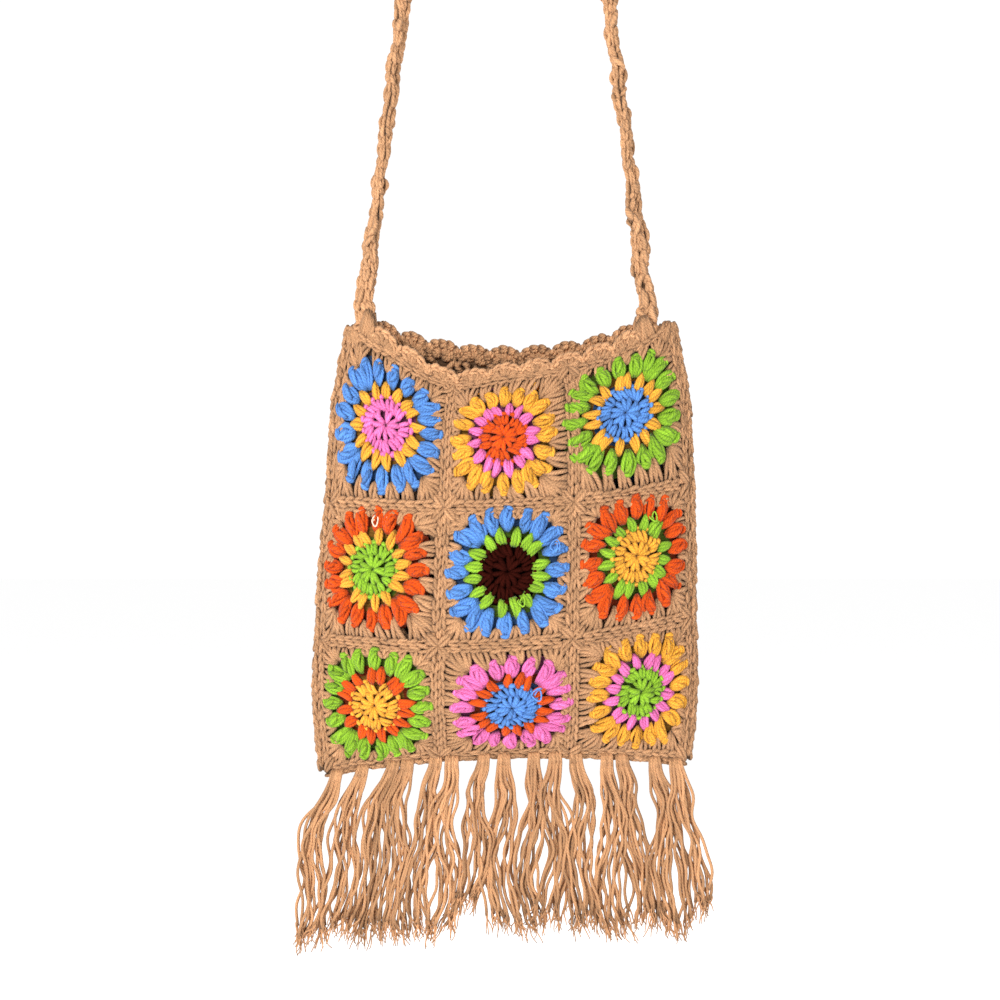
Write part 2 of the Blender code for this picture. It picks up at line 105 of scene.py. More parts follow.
# Colours of the rounds of each square, from the outer round inwards
ROUND_COLOURS = (
    (("blue", "yellow", "pink"), ("yellow", "pink", "orange"), ("green", "yellow", "blue")),
    (("orange", "yellow", "green"), ("blue", "green", "maroon"), ("orange", "green", "yellow")),
    (("green", "orange", "yellow"), ("pink", "orange", "blue"), ("yellow", "pink", "green")),
)

# How the coloured rounds of each square differ from the even square, as hand
# work does: shift right and up in metres, and stretch across and up.
SQUARE_FITS = (
    ((-0.0020, 0.0005, 1.05, 0.92), (-0.0050, -0.0010, 0.92, 0.90), (-0.0055, 0.0040, 1.14, 0.90)),
    ((-0.0040, 0.0045, 0.97, 0.98), (0.0000, 0.0025, 1.01, 1.04), (0.0000, 0.0035, 0.99, 1.00)),
    ((0.0005, 0.0000, 1.00, 1.03), (0.0045, -0.0010, 0.99, 0.91), (0.0035, 0.0010, 0.94, 0.98)),
)

EVEN_FIT = (0.0, 0.0, 1.0, 1.0)

# Dip of the front rim: its place and half width in squares, and its depth
RIM_DIP_COLUMN = -0.56
RIM_DIP_REACH = 0.42
RIM_DIP_DEPTH = 0.0105

# Loose yarn tails on the front: square's row and column, place right and up
# of its middle in metres, width of the curl and colour
TAILS = (
    (1, 0, -0.004, 0.036, 0.0062, "white"),
    (1, 1, 0.031, 0.017, 0.0080, "blue"),
    (2, 1, 0.021, 0.009, 0.0085, "blue"),
    (1, 2, 0.012, 0.029, 0.0060, "green"),
    (1, 1, 0.010, -0.017, 0.0055, "green"),
)
TAIL_COLOURS = ("white", "blue", "green")
TAIL_POINTS = 22
TAIL_TURNS = 1.35
TAIL_RADIUS = 0.00055

# Tassels, as the solids have them: place along the bottom seam in shares of
# its half length, and how far down each lock's tip reaches in shares of the
# fringe's length.
TASSELS = (
    (-0.924, 0.95, 0.97, 0.94),
    (-0.766, 0.95, 0.93, 0.91),
    (-0.584, 0.94, 0.98, 0.99),
    (-0.510, 0.97, 0.98, 1.00),
    (-0.358, 1.00, 0.97, 0.98),
    (-0.276, 1.00, 0.98, 0.92),
    (-0.111, 0.86, 0.82, 0.85),
    (-0.008, 0.97, 0.98, 0.99),
    (0.147, 1.00, 0.98, 0.95),
    (0.254, 0.93, 0.92, 0.94),
    (0.363, 0.97, 0.98, 0.98),
    (0.530, 0.98, 0.98, 0.98),
    (0.614, 0.95, 0.93, 0.94),
    (0.802, 0.92, 0.96, 0.96),
    (0.934, 0.95, 0.86, 0.83),
)

# Fringe: how far above its seat a yarn folds over the seam, the length that
# frayed ends are shares of, and waves as their length and size.
FOLD_RISE = 0.0130
FRAY_LENGTH = 0.0200
TASSEL_WAVE = (0.085, 0.0034)
YARN_WAVE = (0.050, 0.0011)
CRIMP_WAVE = (0.024, 0.0008)
YARN_POINTS = 38
FRAY_POINTS = 7

# Stitches in each round of a square, in the chain round it, and scallops in
# the edging of a wall
ROSETTE_POSTS = 12
ROSETTE_TOPS = 15
PETALS = 16
CLUSTERS = 20
BRAID_STITCHES = 50
SCALLOPS = 9

# Places of the rounds of a square, in metres from its middle
ROSETTE_REACH = 0.0112
CENTRE_REACH = 0.0185
PETAL_INNER = 0.0166
PETAL_OUTER = 0.0296
CLUSTER_INNER = 0.0252
CLUSTER_OUTER = 0.0418
CLUSTER_CORNER_OUTER = 0.0446
MEDALLION_HALF_WIDTH = 0.0425

# Roots and tips of the clusters, in degrees from the middle of a side
SIDE_CLUSTERS = ((-22.5, -19.0), (0.0, 0.0), (22.5, 19.0))
CORNER_CLUSTERS = ((41.5, 35.0), (48.5, 55.0))

# Posts of the border: the gap between clusters that each pair comes from, in
# degrees, and the places of their tops along the side; then the fans at the
# corners.
BORDER_POSTS = (
    (-27.0, (-0.0216, -0.0158)),
    (-9.3, (-0.0096, -0.0034)),
    (9.3, (0.0034, 0.0096)),
    (27.0, (0.0158, 0.0216)),
)
BORDER_GAP_REACH = 0.0352
CORNER_FAN_ROOT = (0.0300, 0.0290)
CORNER_FAN_TOPS = (0.0264, 0.0318, 0.0368)

# Chain round a square: how far in from the edge it lies, and its corners
BRAID_OFFSET = 0.0023
CORNER_ROUNDING = 0.0006

# Yarn of the chains, and the twist of all yarn: plies round a strand, and the
# distance along it from one ply to the next
BRAID_YARN = 0.0031
PLIES = 3
PLY_STEP = 0.0024

# Inner face of a wall: every so many strands of the outer face, how much
# thicker, and how far further in
INNER_STEP = 3
INNER_SWELL = 1.4
EDGING_INNER_STEP = 1
EDGING_INNER_SWELL = 1.25
INNER_SHIFT = 0.0016

# Sheet behind the rounds of a square, coloured dark as painted shade in the gaps between stitches, and the
# yarn of each of its rings
WEB_SIDES = 32
WEB_DEPTH = -0.0010
WEB_THICKNESS = 0.0006
ROUND_WEB_SLOTS = (2, 2, 2, 1, 0, 0)

# Shades as shares of a yarn's own colour: painted shade on the sheets behind the stitches, painted light on
# the inner faces, rims, strap and loose strands, and brighter tails and frays; and how dark the painted
# shadow under strands is
WEB_PAINTED_SHADE = 0.20
EDGING_WEB_PAINTED_SHADE = 0.13
INNER_PAINTED_LIGHT = 1.15
TAIL_SHADE = 1.3
RIM_PAINTED_LIGHT = 1.3
STRAP_PAINTED_LIGHT = 1.18
LOOSE_PAINTED_LIGHT = 1.22
FRAY_SHADE = 1.05
EDGING_SHADOW = 0.35
INNER_SHADOW = 0.3
TAIL_SHADOW = 0.3
FRINGE_SHADOW = 0.4
FRAY_SHADOW = 0.25

# Half width of the strap's feet, up to which the edging reaches
FOOT_HALF_WIDTH = 0.0045

# Seams: way round, half thickness, and chains in shares of the way round
SEAM_AROUND = 0.0165
SEAM_RADIUS = 0.0024
SEAM_CHAINS = (0.0, 0.25, 0.75)
SEAM_POINTS = 60

# Strap: way round, places of its chains in degrees, length and thickness of
# their stitches, loose strands, and half thickness of the core at the middle
# of a strand and what a foot adds to it, along and across its width
STRAP_AROUND = 0.0280
STRAP_CHAINS = (40, 92, 140, 220, 268, 320)
STRAP_PITCH = 0.0070
STRAP_YARN = 0.0034
LOOSE_STRANDS = 240
CORE_HALF_WIDTH = (0.0048, 0.0030)
CORE_HALF_DEPTH = (0.0019, 0.0036)

# Lights: name, place, width, power and colour; then what lights and camera
# look at, and the floor.
LIGHTS = (
    ("key", (-1.5, -2.2, 0.6), 1.4, 78.0, (1.0, 0.98, 0.95)),
    ("fill", (1.9, -1.9, -0.5), 2.0, 16.0, (0.96, 0.98, 1.0)),
    ("back_light", (0.6, 2.2, 0.5), 1.6, 22.0, (1.0, 1.0, 1.0)),
)
LIGHT_TARGET = (0.0, 0.0, -0.68)
CAMERA_TARGET = (-0.0047, 0.0, -0.652)
SENSOR_WIDTH = 36.0
FLOOR_REACH = 8.0
FLOOR_LEVEL = -1.30
WORLD_LIGHT = 0.42
WORLD_BACKDROP = 1.05
WHITE = (1.0, 1.0, 1.0, 1.0)

UP = np.array((0.0, 0.0, 1.0))
FORWARD = np.array((0.0, -1.0, 0.0))


def yarn_colour(name, description, colour):
    """Property that holds the colour of one yarn."""
    return bpy.props.FloatVectorProperty(
        name=name, description=description, subtype="COLOR", default=colour, min=0, max=1)


def length_setting(name, description, default, low, high):
    """Property that holds a length in metres."""
    return bpy.props.FloatProperty(
        name=name, description=description, unit="LENGTH", default=default, min=low, max=high)


class BagYarnColours(bpy.types.PropertyGroup):
    """Colours of the yarns"""

    tan: yarn_colour("Tan", "Yarn of the borders, edging, seams and strap", (0.54, 0.290, 0.146))
    fringe: yarn_colour("Fringe", "Yarn of the tassels", (0.61, 0.32, 0.155))
    blue: yarn_colour("Blue", "Blue yarn", (0.11, 0.29, 0.72))
    pink: yarn_colour("Pink", "Pink yarn", (0.92, 0.20, 0.52))
    yellow: yarn_colour("Yellow", "Yellow yarn", (0.92, 0.43, 0.045))
    orange: yarn_colour("Orange", "Orange yarn", (0.76, 0.088, 0.004))
    green: yarn_colour("Green", "Green yarn", (0.28, 0.52, 0.03))
    white: yarn_colour("White", "Off-white loose tail", (0.85, 0.66, 0.52))
    maroon: yarn_colour("Maroon", "Dark brown-red yarn", (0.034, 0.004, 0.002))


class BagStitchSizes(bpy.types.PropertyGroup):
    """Sizes of the stitches"""

    puff: length_setting("Puff", "How far the middle of a square swells", 0.0018, 0, 0.006)
    chain_pitch: length_setting("Chain Pitch", "Length of a chain stitch in the seams", 0.0062, 0.003, 0.012)
    fringe_yarn: length_setting("Fringe Yarn", "Thickness of a yarn end in the fringe", 0.0022, 0.001, 0.005)
    fringe_ends: bpy.props.IntProperty(
        name="Fringe Ends", description="Yarn ends in each tassel", default=15, min=3, max=18)
    unevenness: bpy.props.FloatProperty(
        name="Unevenness", description="How much hand work varies from stitch to stitch",
        subtype="FACTOR", default=1.2, min=0, max=2)


class BagStageSettings(bpy.types.PropertyGroup):
    """Camera"""

    elevation: bpy.props.FloatProperty(
        name="Elevation", description="Height of the camera's view above level", subtype="ANGLE",
        default=math.radians(3), min=0, max=math.radians(30))
    distance: length_setting("Distance", "Distance of the camera from the bag", 2.4, 0.5, 10)
    frame_height: length_setting("Frame Height", "Height of the picture at the bag", 0.67, 0.2, 3)


def read_table(table, columns, name, keys):
    """Cubic through one column of a table at an array of keys, and straight on past its ends.

    Each stretch is the Hermite cubic between two rows, whose slopes are those of
    the chords between the rows before and after each.
    """
    rows = np.array(table)
    knots = rows[:, 0]
    values = rows[:, columns.index(name)]
    before = np.maximum(np.arange(len(knots)) - 1, 0)
    after = np.minimum(np.arange(len(knots)) + 1, len(knots) - 1)
    slopes = (values[after] - values[before]) / (knots[after] - knots[before])
    keys = np.asarray(keys, dtype=float)
    held = np.clip(keys, knots[0], knots[-1])
    last = np.clip(np.searchsorted(knots, held, side="right") - 1, 0, len(knots) - 2)
    step = knots[last + 1] - knots[last]
    t = (held - knots[last]) / step
    smooth = (
        values[last] * (2 * t**3 - 3 * t**2 + 1)
        + slopes[last] * step * (t**3 - 2 * t**2 + t)
        + values[last + 1] * (3 * t**2 - 2 * t**3)
        + slopes[last + 1] * step * (t**3 - t**2)
    )
    end_slope = np.where(keys < knots[0], slopes[0], slopes[-1])
    return smooth + end_slope * (keys - held)


def course(name, rows):
    """Column of the courses at heights in squares below the mouth."""
    return read_table(COURSES, COURSE_COLUMNS, name, rows)


def wall_middle(side, column, row):
    """Points midway through a wall.

    Each level section is an arc that ends at the side seams. The rim of the
    front dips by a bell curve that fades out down the first row.
    """
    across = column / (0.5 * COLUMNS)
    turn = SECTION_HALF_TURN
    arch = (np.cos(turn * across) - math.cos(turn)) / (1 - math.cos(turn))
    depth = WALL_EDGE_DEPTH + BULGES[side] * course("bulge", row) * arch
    sag = course("front_sag" if side == FRONT else "back_sag", row)
    x = HALF_WIDTH * (course("width", row) * np.sin(turn * across) / math.sin(turn) + course("lean", row))
    drop = course("down", row) + sag * (1 - across**2) - course("tilt", row) * across
    dip = RIM_DIP_DEPTH * np.exp(-(((column - RIM_DIP_COLUMN) / RIM_DIP_REACH) ** 2))
    dip = dip * np.clip(1 - row, 0, 1) ** 2 if side == FRONT else 0.0
    return np.stack((x, side * depth, -STRAP_DROP - SIDE_HEIGHT * drop - dip), axis=-1)


def wall_bend(side):
    """Bend that lays flat work on a wall.

    Flat work has X to the right as one faces the wall, Y up from the mouth and
    Z out of the wall. A point goes to its place midway through the wall and
    out along the normal there, which swells towards the middle of each square.
    """

    def bend(points):
        column = -side * points[..., 0] / SQUARE_SIDE
        row = -points[..., 1] / SQUARE_SIDE
        step = 0.01
        along = wall_middle(side, column + step, row) - wall_middle(side, column - step, row)
        down = wall_middle(side, column, row + step) - wall_middle(side, column, row - step)
        normal = side * np.cross(along, down)
        normal /= np.linalg.norm(normal, axis=-1, keepdims=True)
        from_column = column - np.round(column)
        from_row = row - np.floor(row) - 0.5
        swell = np.clip(1 - 4 * from_column**2, 0, 1) * np.clip(1 - 4 * from_row**2, 0, 1)
        swell = np.where(row > 0, swell, 0.0) * bpy.context.scene.bag_stitches.puff
        return wall_middle(side, column, row) + (points[..., 2] + swell)[..., None] * normal

    return bend


def route_bend(centres, outs, half_widths, half_depths, around):
    """Bend that lays flat work round a route.

    Flat X runs along the route, Y runs round it, once in the length around, and
    Z leads out. The section is an ellipse with its half width along outs. The
    route's length comes with the bend.
    """
    steps = np.linalg.norm(np.diff(centres, axis=0), axis=1)
    distance = np.concatenate(([0.0], np.cumsum(steps)))
    run = np.gradient(centres, axis=0)
    run /= np.linalg.norm(run, axis=1, keepdims=True)
    backs = np.cross(outs, run)

    def read(values, places):
        return np.stack([np.interp(places, distance, values[:, axis]) for axis in range(3)], axis=-1)

    def bend(points):
        places = np.clip(points[..., 0], 0, distance[-1])
        over = points[..., 0] - places
        angle = 2 * math.pi * points[..., 1] / around
        wide = np.interp(places, distance, half_widths)
        deep = np.interp(places, distance, half_depths)
        out = read(outs, places)
        back = read(backs, places)
        cosine, sine = np.cos(angle), np.sin(angle)
        skin = out * (wide * cosine)[..., None] + back * (deep * sine)[..., None]
        normal = out * (deep * cosine)[..., None] + back * (wide * sine)[..., None]
        normal /= np.linalg.norm(normal, axis=-1, keepdims=True)
        lift = points[..., 2]
        return read(centres, places) + read(run, places) * over[..., None] + skin + normal * lift[..., None]

    return bend, distance[-1]


def unit_across(run):
    """Unit vectors square to flat runs, to their left."""
    across = np.stack((-run[:, 1], run[:, 0]), axis=1)
    return across / np.linalg.norm(across, axis=1, keepdims=True)


def bundles(base, tip, width, rng, thickness, count=2, low=0.0, high=0.0018, shape=(0.3, 0.5, 0.5),
            slot=0, points=7, twist=0.6, bow=0.05, tone_and_painted_light=1.0):
    """Bundles of strands, one for each base and tip.

    Across, a strand's offset is its place in the bundle times a profile that
    rises as a sine from the first share of the shape at the base to one at its
    second, and falls as a cosine to its third at the tip. The strands turn
    round one another by a twist, the bundle bows a little to one side, and its
    height arches from low to high.
    """
    uneven = bpy.context.scene.bag_stitches.unevenness
    share = np.linspace(0, 1, points)
    arch = np.sin(np.pi * share)
    at_base, peak, at_tip = shape
    rise = at_base + (1 - at_base) * np.sin(0.5 * np.pi * np.minimum(share / peak, 1))
    fall = at_tip + (1 - at_tip) * np.cos(0.5 * np.pi * np.maximum((share - peak) / (1 - peak), 0))
    profile = np.where(share < peak, rise, fall)
    places = np.linspace(-1, 1, count) if count > 1 else np.zeros(1)
    run = tip - base
    reach = np.linalg.norm(run, axis=1)[:, None, None]
    across = unit_across(run)
    width = np.broadcast_to(width, (len(base),))
    half = 0.5 * np.maximum(width - thickness, 0.0)[:, None, None]
    turn = rng.normal(twist, 0.5 * uneven, (len(base), 1, 1)) * (share - 0.5)
    offset = places[None, :, None] * half * profile * np.cos(turn)
    offset = offset + rng.normal(0, bow * uneven, (len(base), 1, 1)) * reach * arch
    offset = offset + rng.normal(0, 0.08 * thickness * uneven, (len(base), count, 1)) * arch
    flat = base[:, None, None] + run[:, None, None] * share[:, None]
    flat = flat + across[:, None, None] * offset[..., None]
    height = low + (high - low) * arch**0.6
    height = height + places[None, :, None] * half * profile * np.sin(turn)
    height = height - 0.35 * thickness * (places**2)[None, :, None] * arch
    height = height + rng.normal(0, 0.10 * thickness * uneven, (len(base), count, 1))
    paths = np.concatenate((flat, height[..., None]), axis=-1).reshape(-1, points, 3)
    thick = 0.5 * thickness * (0.60 + 0.40 * arch**0.5)
    radii = thick[None] * (1 + rng.normal(0, 0.06 * uneven, (len(paths), 1)))
    # Painted light: the batch's factor brightens rims and the strap; each strand's shade also varies at
    # random
    shades = tone_and_painted_light * np.clip(1 + rng.normal(0, 0.08 * uneven, len(paths)), 0.75, 1.25)
    return {"paths": paths, "radii": radii, "shades": shades, "slot": slot, "sides": 5, "up": UP}


def chains(places, thickness, rng, width=None, low=0.0004, high=0.0020, tone_and_painted_light=1.0):
    """Chain stitches from each place to the next: two legs that open like a V over the roots of the next."""
    run = places[1:] - places[:-1]
    return bundles(
        places[:-1] - 0.12 * run, places[1:] + 0.22 * run, width or 2.0 * thickness, rng, thickness,
        low=low, high=high, shape=(0.0, 0.85, 0.80), points=6, twist=0.0, bow=0.02, tone_and_painted_light=tone_and_painted_light)


def inner_faces(batches, step, swell):
    """Plainer, thicker strands on the inner face of a wall.

    They are every so many strands of the outer face, mirrored and shifted further in, with every other point
    left out, and brightened a little as painted light.
    """
    made = []
    for batch in batches:
        mirrored = batch["paths"][::step, ::2] * np.array((1.0, 1.0, -1.0))
        made.append({
            "paths": mirrored - INNER_SHIFT * UP, "radii": swell * batch["radii"][::step, ::2],
            "shades": INNER_PAINTED_LIGHT * batch["shades"][::step], "slot": batch["slot"],
            "sides": 4, "up": -UP, "shadow": INNER_SHADOW})
    return made


def ring_places(radius, angles):
    """Flat points at radii and angles, counted from the right and turning upwards."""
    radius = np.broadcast_to(radius, np.shape(angles))
    return np.stack((radius * np.cos(angles), radius * np.sin(angles)), axis=1)


def rings_round(batch):
    """Rings of points round many paths at once, square to each path's run."""
    paths = batch["paths"]
    run = np.gradient(paths, axis=1)
    run /= np.maximum(np.linalg.norm(run, axis=2, keepdims=True), 1e-9)
    side = np.cross(run, batch["up"])
    side /= np.maximum(np.linalg.norm(side, axis=2, keepdims=True), 1e-9)
    rise = np.cross(side, run)
    turn = 0.5 * math.pi - 2 * math.pi * np.arange(batch["sides"]) / batch["sides"]
    ring = side[:, :, None] * np.cos(turn)[:, None] + rise[:, :, None] * np.sin(turn)[:, None]
    return paths[:, :, None] + batch["radii"][:, :, None, None] * ring


def strand_shades(batch):
    """Shades of the points of one batch: painted shadow under each strand and painted shade towards its ends.
    """
    levels = batch["paths"].shape[1]
    share = np.linspace(0, 1, levels)
    # Painted shade towards the ends of a strand, over a share of its length
    ends = 0.48 + 0.52 * np.clip(np.minimum(share, 1 - share) / batch.get("painted_end_shade_reach", 0.22), 0, 1)
    turn = 0.5 * math.pi - 2 * math.pi * np.arange(batch["sides"]) / batch["sides"]
    # Painted shadow on the underside of each ring, scaled by the batch's shadow
    under = 0.28 + 0.80 * (0.5 + 0.5 * np.sin(turn)) ** 1.3
    under = 1 - batch.get("shadow", 1.0) * (1 - under)
    return (batch["shades"][:, None, None] * ends[:, None] * under[None, :]).ravel()


def strand_faces(batch, first):
    """Corners, face sizes and UVs of the tubes of one batch, whose first point has the number first.

    U runs once round a strand and V is the distance along it in metres. Both
    are zero in a batch whose twisted is zero, which leaves its bump without plies.
    """
    strands, levels = batch["paths"].shape[:2]
    sides = batch["sides"]
    start = first + np.arange(strands)[:, None, None] * levels * sides
    level = np.arange(levels - 1)[None, :, None] * sides
    place = np.arange(sides)[None, None]
    after = (place + 1) % sides
    a, b = start + level + place, start + level + after
    quads = np.stack((a, b, b + sides, a + sides), axis=-1).reshape(-1, 4)
    ends = start[:, 0, :] + np.arange(sides)[None]
    caps = np.concatenate((ends[:, ::-1], ends + (levels - 1) * sides))
    steps = np.linalg.norm(np.diff(batch["paths"], axis=1), axis=2)
    along = np.concatenate((np.zeros((strands, 1)), np.cumsum(steps, axis=1)), axis=1)
    v_low = np.broadcast_to(along[:, :-1, None], (strands, levels - 1, sides))
    v_high = np.broadcast_to(along[:, 1:, None], (strands, levels - 1, sides))
    u_low = np.broadcast_to(place / sides, v_low.shape)
    u_high = np.broadcast_to((place + 1) / sides, v_low.shape)
    u = np.stack((u_low, u_high, u_high, u_low), axis=-1).reshape(-1, 4)
    v = np.stack((v_low, v_low, v_high, v_high), axis=-1).reshape(-1, 4)
    quad_uvs = np.stack((u, v), axis=-1).reshape(-1, 2) * batch.get("twisted", 1.0)
    cap_uvs = np.zeros((caps.size, 2))
    corners = np.concatenate((quads.ravel(), caps.ravel()))
    sizes = np.concatenate((np.full(len(quads), 4), np.full(len(caps), sides)))
    return corners, sizes, np.concatenate((quad_uvs, cap_uvs))


def web_batch(inner, outer, slots):
    """Thin sheet behind the stitches, from an inner to an outer outline, as points and faces, coloured dark
    as painted shade.

    There is a ring of faces for each slot. Rings blend evenly from inner to
    outer, on the outer face and again on the inner one, and the rims are closed.
    """
    levels = len(slots) + 1
    sides = len(inner)
    share = np.linspace(0, 1, levels)[:, None, None]
    ring = inner[None] * (1 - share) + outer[None] * share
    top = np.concatenate((ring, np.full((levels, sides, 1), WEB_DEPTH)), axis=-1)
    bottom = np.concatenate((ring, np.full((levels, sides, 1), WEB_DEPTH - WEB_THICKNESS)), axis=-1)
    points = np.concatenate((top.reshape(-1, 3), bottom.reshape(-1, 3)))
    place = np.arange(sides)
    after = (place + 1) % sides
    level = (np.arange(levels - 1) * sides)[:, None]
    half = levels * sides
    a, b = level + place, level + after
    upper = np.stack((a, a + sides, b + sides, b), axis=-1).reshape(-1, 4)
    lower = upper[:, ::-1] + half
    last = (levels - 1) * sides
    outer_rim = np.stack((place + last, place + last + half, after + last + half, after + last), axis=-1)
    inner_rim = np.stack((place, after, after + half, place + half), axis=-1)
    faces = np.concatenate((upper, lower, outer_rim, inner_rim))
    ring_slots = np.repeat(np.asarray(slots), sides)
    face_slots = np.concatenate((ring_slots, ring_slots, np.full(sides, slots[-1]), np.full(sides, slots[0])))
    return {"web": points, "faces": faces, "face_slots": face_slots, "shade": WEB_PAINTED_SHADE}


def work_piece(name, batches, bend, materials, nodes):
    """Mesh of all the strands and webs of one piece, bent into place and hung on the frame."""
    points, corners, sizes, uvs, shades, slots = [], [], [], [], [], []
    first = 0
    for batch in batches:
        if "web" in batch:
            flat = batch["web"]
            faces = batch["faces"] + first
            corners.append(faces.ravel())
            sizes.append(np.full(len(faces), 4))
            uvs.append(flat[batch["faces"].ravel(), :2])
            shades.append(np.full(len(flat), batch["shade"]))
            slots.append(batch["face_slots"])
        else:
            flat = rings_round(batch).reshape(-1, 3)
            part_corners, part_sizes, part_uvs = strand_faces(batch, first)
            corners.append(part_corners)
            sizes.append(part_sizes)
            uvs.append(part_uvs)
            shades.append(strand_shades(batch))
            slots.append(np.full(len(part_sizes), batch["slot"]))
        points.append(bend(flat) if bend else flat)
        first += len(flat)
    points, corners, sizes = np.concatenate(points), np.concatenate(corners), np.concatenate(sizes)
    mesh = bpy.data.meshes.new(name)
    mesh.vertices.add(len(points))
    mesh.vertices.foreach_set("co", points.astype(np.float32).ravel())
    mesh.loops.add(len(corners))
    mesh.loops.foreach_set("vertex_index", corners.astype(np.int32))
    mesh.polygons.add(len(sizes))
    starts = np.concatenate(([0], np.cumsum(sizes)[:-1]))
    mesh.polygons.foreach_set("loop_start", starts.astype(np.int32))
    mesh.polygons.foreach_set("material_index", np.concatenate(slots).astype(np.int32))
    mesh.update(calc_edges=True)
    layer = mesh.uv_layers.new(name="yarn")
    layer.data.foreach_set("uv", np.concatenate(uvs).astype(np.float32).ravel())
    # The shade attribute holds each strand's random shade with painted shade and painted light, and the
    # sheets' painted shade
    shade = mesh.attributes.new("shade", "FLOAT", "POINT")
    shade.data.foreach_set("value", np.concatenate(shades).astype(np.float32))
    for material in materials:
        mesh.materials.append(material)
    mesh.shade_smooth()
    if mesh.validate():
        raise RuntimeError(f"{name} had faces that don't hold together")
    piece = bpy.data.objects.new(name, mesh)
    bpy.context.scene.collection.objects.link(piece)
    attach(piece, "root")
    if nodes:
        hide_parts(*nodes)


def yarn_material(name):
    """Matt plied yarn of one colour.

    Slanted plies and fine fibres make the bump. The colour is the yarn's own times the strand's shade, which
    holds painted shade and painted light, times painted shade in the grooves between the plies and a little
    of soft patches.
    """
    label = "stitch_" + name
    if label in bpy.data.materials:
        return bpy.data.materials[label]
    material = bpy.data.materials.new(label)
    material.use_nodes = True
    nodes = material.node_tree.nodes
    links = material.node_tree.links
    place = nodes.new("ShaderNodeTexCoord").outputs["Object"]
    dark = name == "maroon"
    shader = nodes["Principled BSDF"]
    shader.inputs["Roughness"].default_value = 0.85
    shader.inputs["Specular IOR Level"].default_value = 0.04 if dark else 0.18
    shader.inputs["Sheen Weight"].default_value = 0.0 if dark else 0.12
    shader.inputs["Sheen Roughness"].default_value = 0.5

    def math_node(operation, *values):
        node = nodes.new("ShaderNodeMath")
        node.operation = operation
        for socket, value in zip(node.inputs, values):
            if isinstance(value, (int, float)):
                socket.default_value = value
            else:
                links.new(value, socket)
        return node.outputs[0]

    def noise_node(scale, detail):
        node = nodes.new("ShaderNodeTexNoise")
        node.inputs["Scale"].default_value = scale
        node.inputs["Detail"].default_value = detail
        links.new(place, node.inputs["Vector"])
        return node.outputs["Fac"]

    uv = nodes.new("ShaderNodeUVMap")
    uv.uv_map = "yarn"
    split = nodes.new("ShaderNodeSeparateXYZ")
    links.new(uv.outputs["UV"], split.inputs["Vector"])
    turns = math_node("MULTIPLY", split.outputs["X"], PLIES * 2 * math.pi)
    climb = math_node("MULTIPLY", split.outputs["Y"], 2 * math.pi / PLY_STEP)
    plies = math_node("MULTIPLY_ADD", math_node("SINE", math_node("ADD", turns, climb)), 0.5, 0.5)
    fibres = noise_node(1400.0, 3.0)
    patches = noise_node(130.0, 2.0)

    strand = nodes.new("ShaderNodeAttribute")
    strand.attribute_name = "shade"
    # Painted shade: the strand's shade attribute, and darker grooves between the plies
    tone_and_painted_light = math_node("MULTIPLY", strand.outputs["Fac"], math_node("MULTIPLY_ADD", plies, 0.24, 0.84))
    tone_and_painted_light = math_node("MULTIPLY", tone_and_painted_light, math_node("MULTIPLY_ADD", patches, 0.30, 0.85))
    colour = nodes.new("ShaderNodeVectorMath")
    colour.operation = "SCALE"
    colour.inputs[0].default_value = getattr(bpy.context.scene.bag_yarns, name)
    links.new(tone_and_painted_light, colour.inputs["Scale"])
    links.new(colour.outputs["Vector"], shader.inputs["Base Color"])

    bump = nodes.new("ShaderNodeBump")
    bump.inputs["Strength"].default_value = 0.8
    bump.inputs["Distance"].default_value = 0.0006
    height = math_node("ADD", math_node("MULTIPLY", plies, 0.7), math_node("MULTIPLY", fibres, 0.5))
    links.new(height, bump.inputs["Height"])
    links.new(bump.outputs["Normal"], shader.inputs["Normal"])
    return material


def square_outline(half_side, angles):
    """Points of a square's outline in the directions of the angles."""
    reach = half_side / np.maximum(np.abs(np.cos(angles)), np.abs(np.sin(angles)))
    return ring_places(reach, angles)


def medallion_outline(half_width, angles):
    """Points of the rounded-square outline of the coloured rounds."""
    power = 2.76
    size = (np.abs(np.cos(angles)) ** power + np.abs(np.sin(angles)) ** power) ** (-1 / power)
    return ring_places(half_width * size, angles)


def work_centre(rng, slot):
    """First round: a rosette of single posts inside a ring of paired ones, with bumps past its edge."""
    posts = np.arange(ROSETTE_POSTS) + rng.uniform(-0.2, 0.2, ROSETTE_POSTS)
    posts = 2 * math.pi * posts / ROSETTE_POSTS
    tops = np.arange(ROSETTE_TOPS) + 0.5 + rng.uniform(-0.15, 0.15, ROSETTE_TOPS)
    tops = 2 * math.pi * tops / ROSETTE_TOPS
    lean = rng.normal(0.18, 0.16, ROSETTE_TOPS)
    rosette = bundles(
        ring_places(0.0010, posts), ring_places(ROSETTE_REACH, posts + 0.12), 0.0040, rng,
        thickness=0.0040, count=1, low=0.0002, high=0.0022, slot=slot)
    crown = bundles(
        ring_places(ROSETTE_REACH - 0.0016, tops - 0.5 * lean),
        ring_places(CENTRE_REACH - 0.0006, tops + 0.5 * lean), 0.0066, rng,
        thickness=0.0034, low=0.0004, high=0.0030, shape=(0.15, 0.7, 0.8), slot=slot)
    gaps = 2 * math.pi * np.arange(PETALS) / PETALS
    bumps = bundles(
        ring_places(CENTRE_REACH, gaps - 0.12), ring_places(CENTRE_REACH + 0.0006, gaps + 0.12), 0.0036, rng,
        thickness=0.0036, count=1, low=-0.0008, high=0.0014, slot=slot)
    return [rosette, crown, bumps]


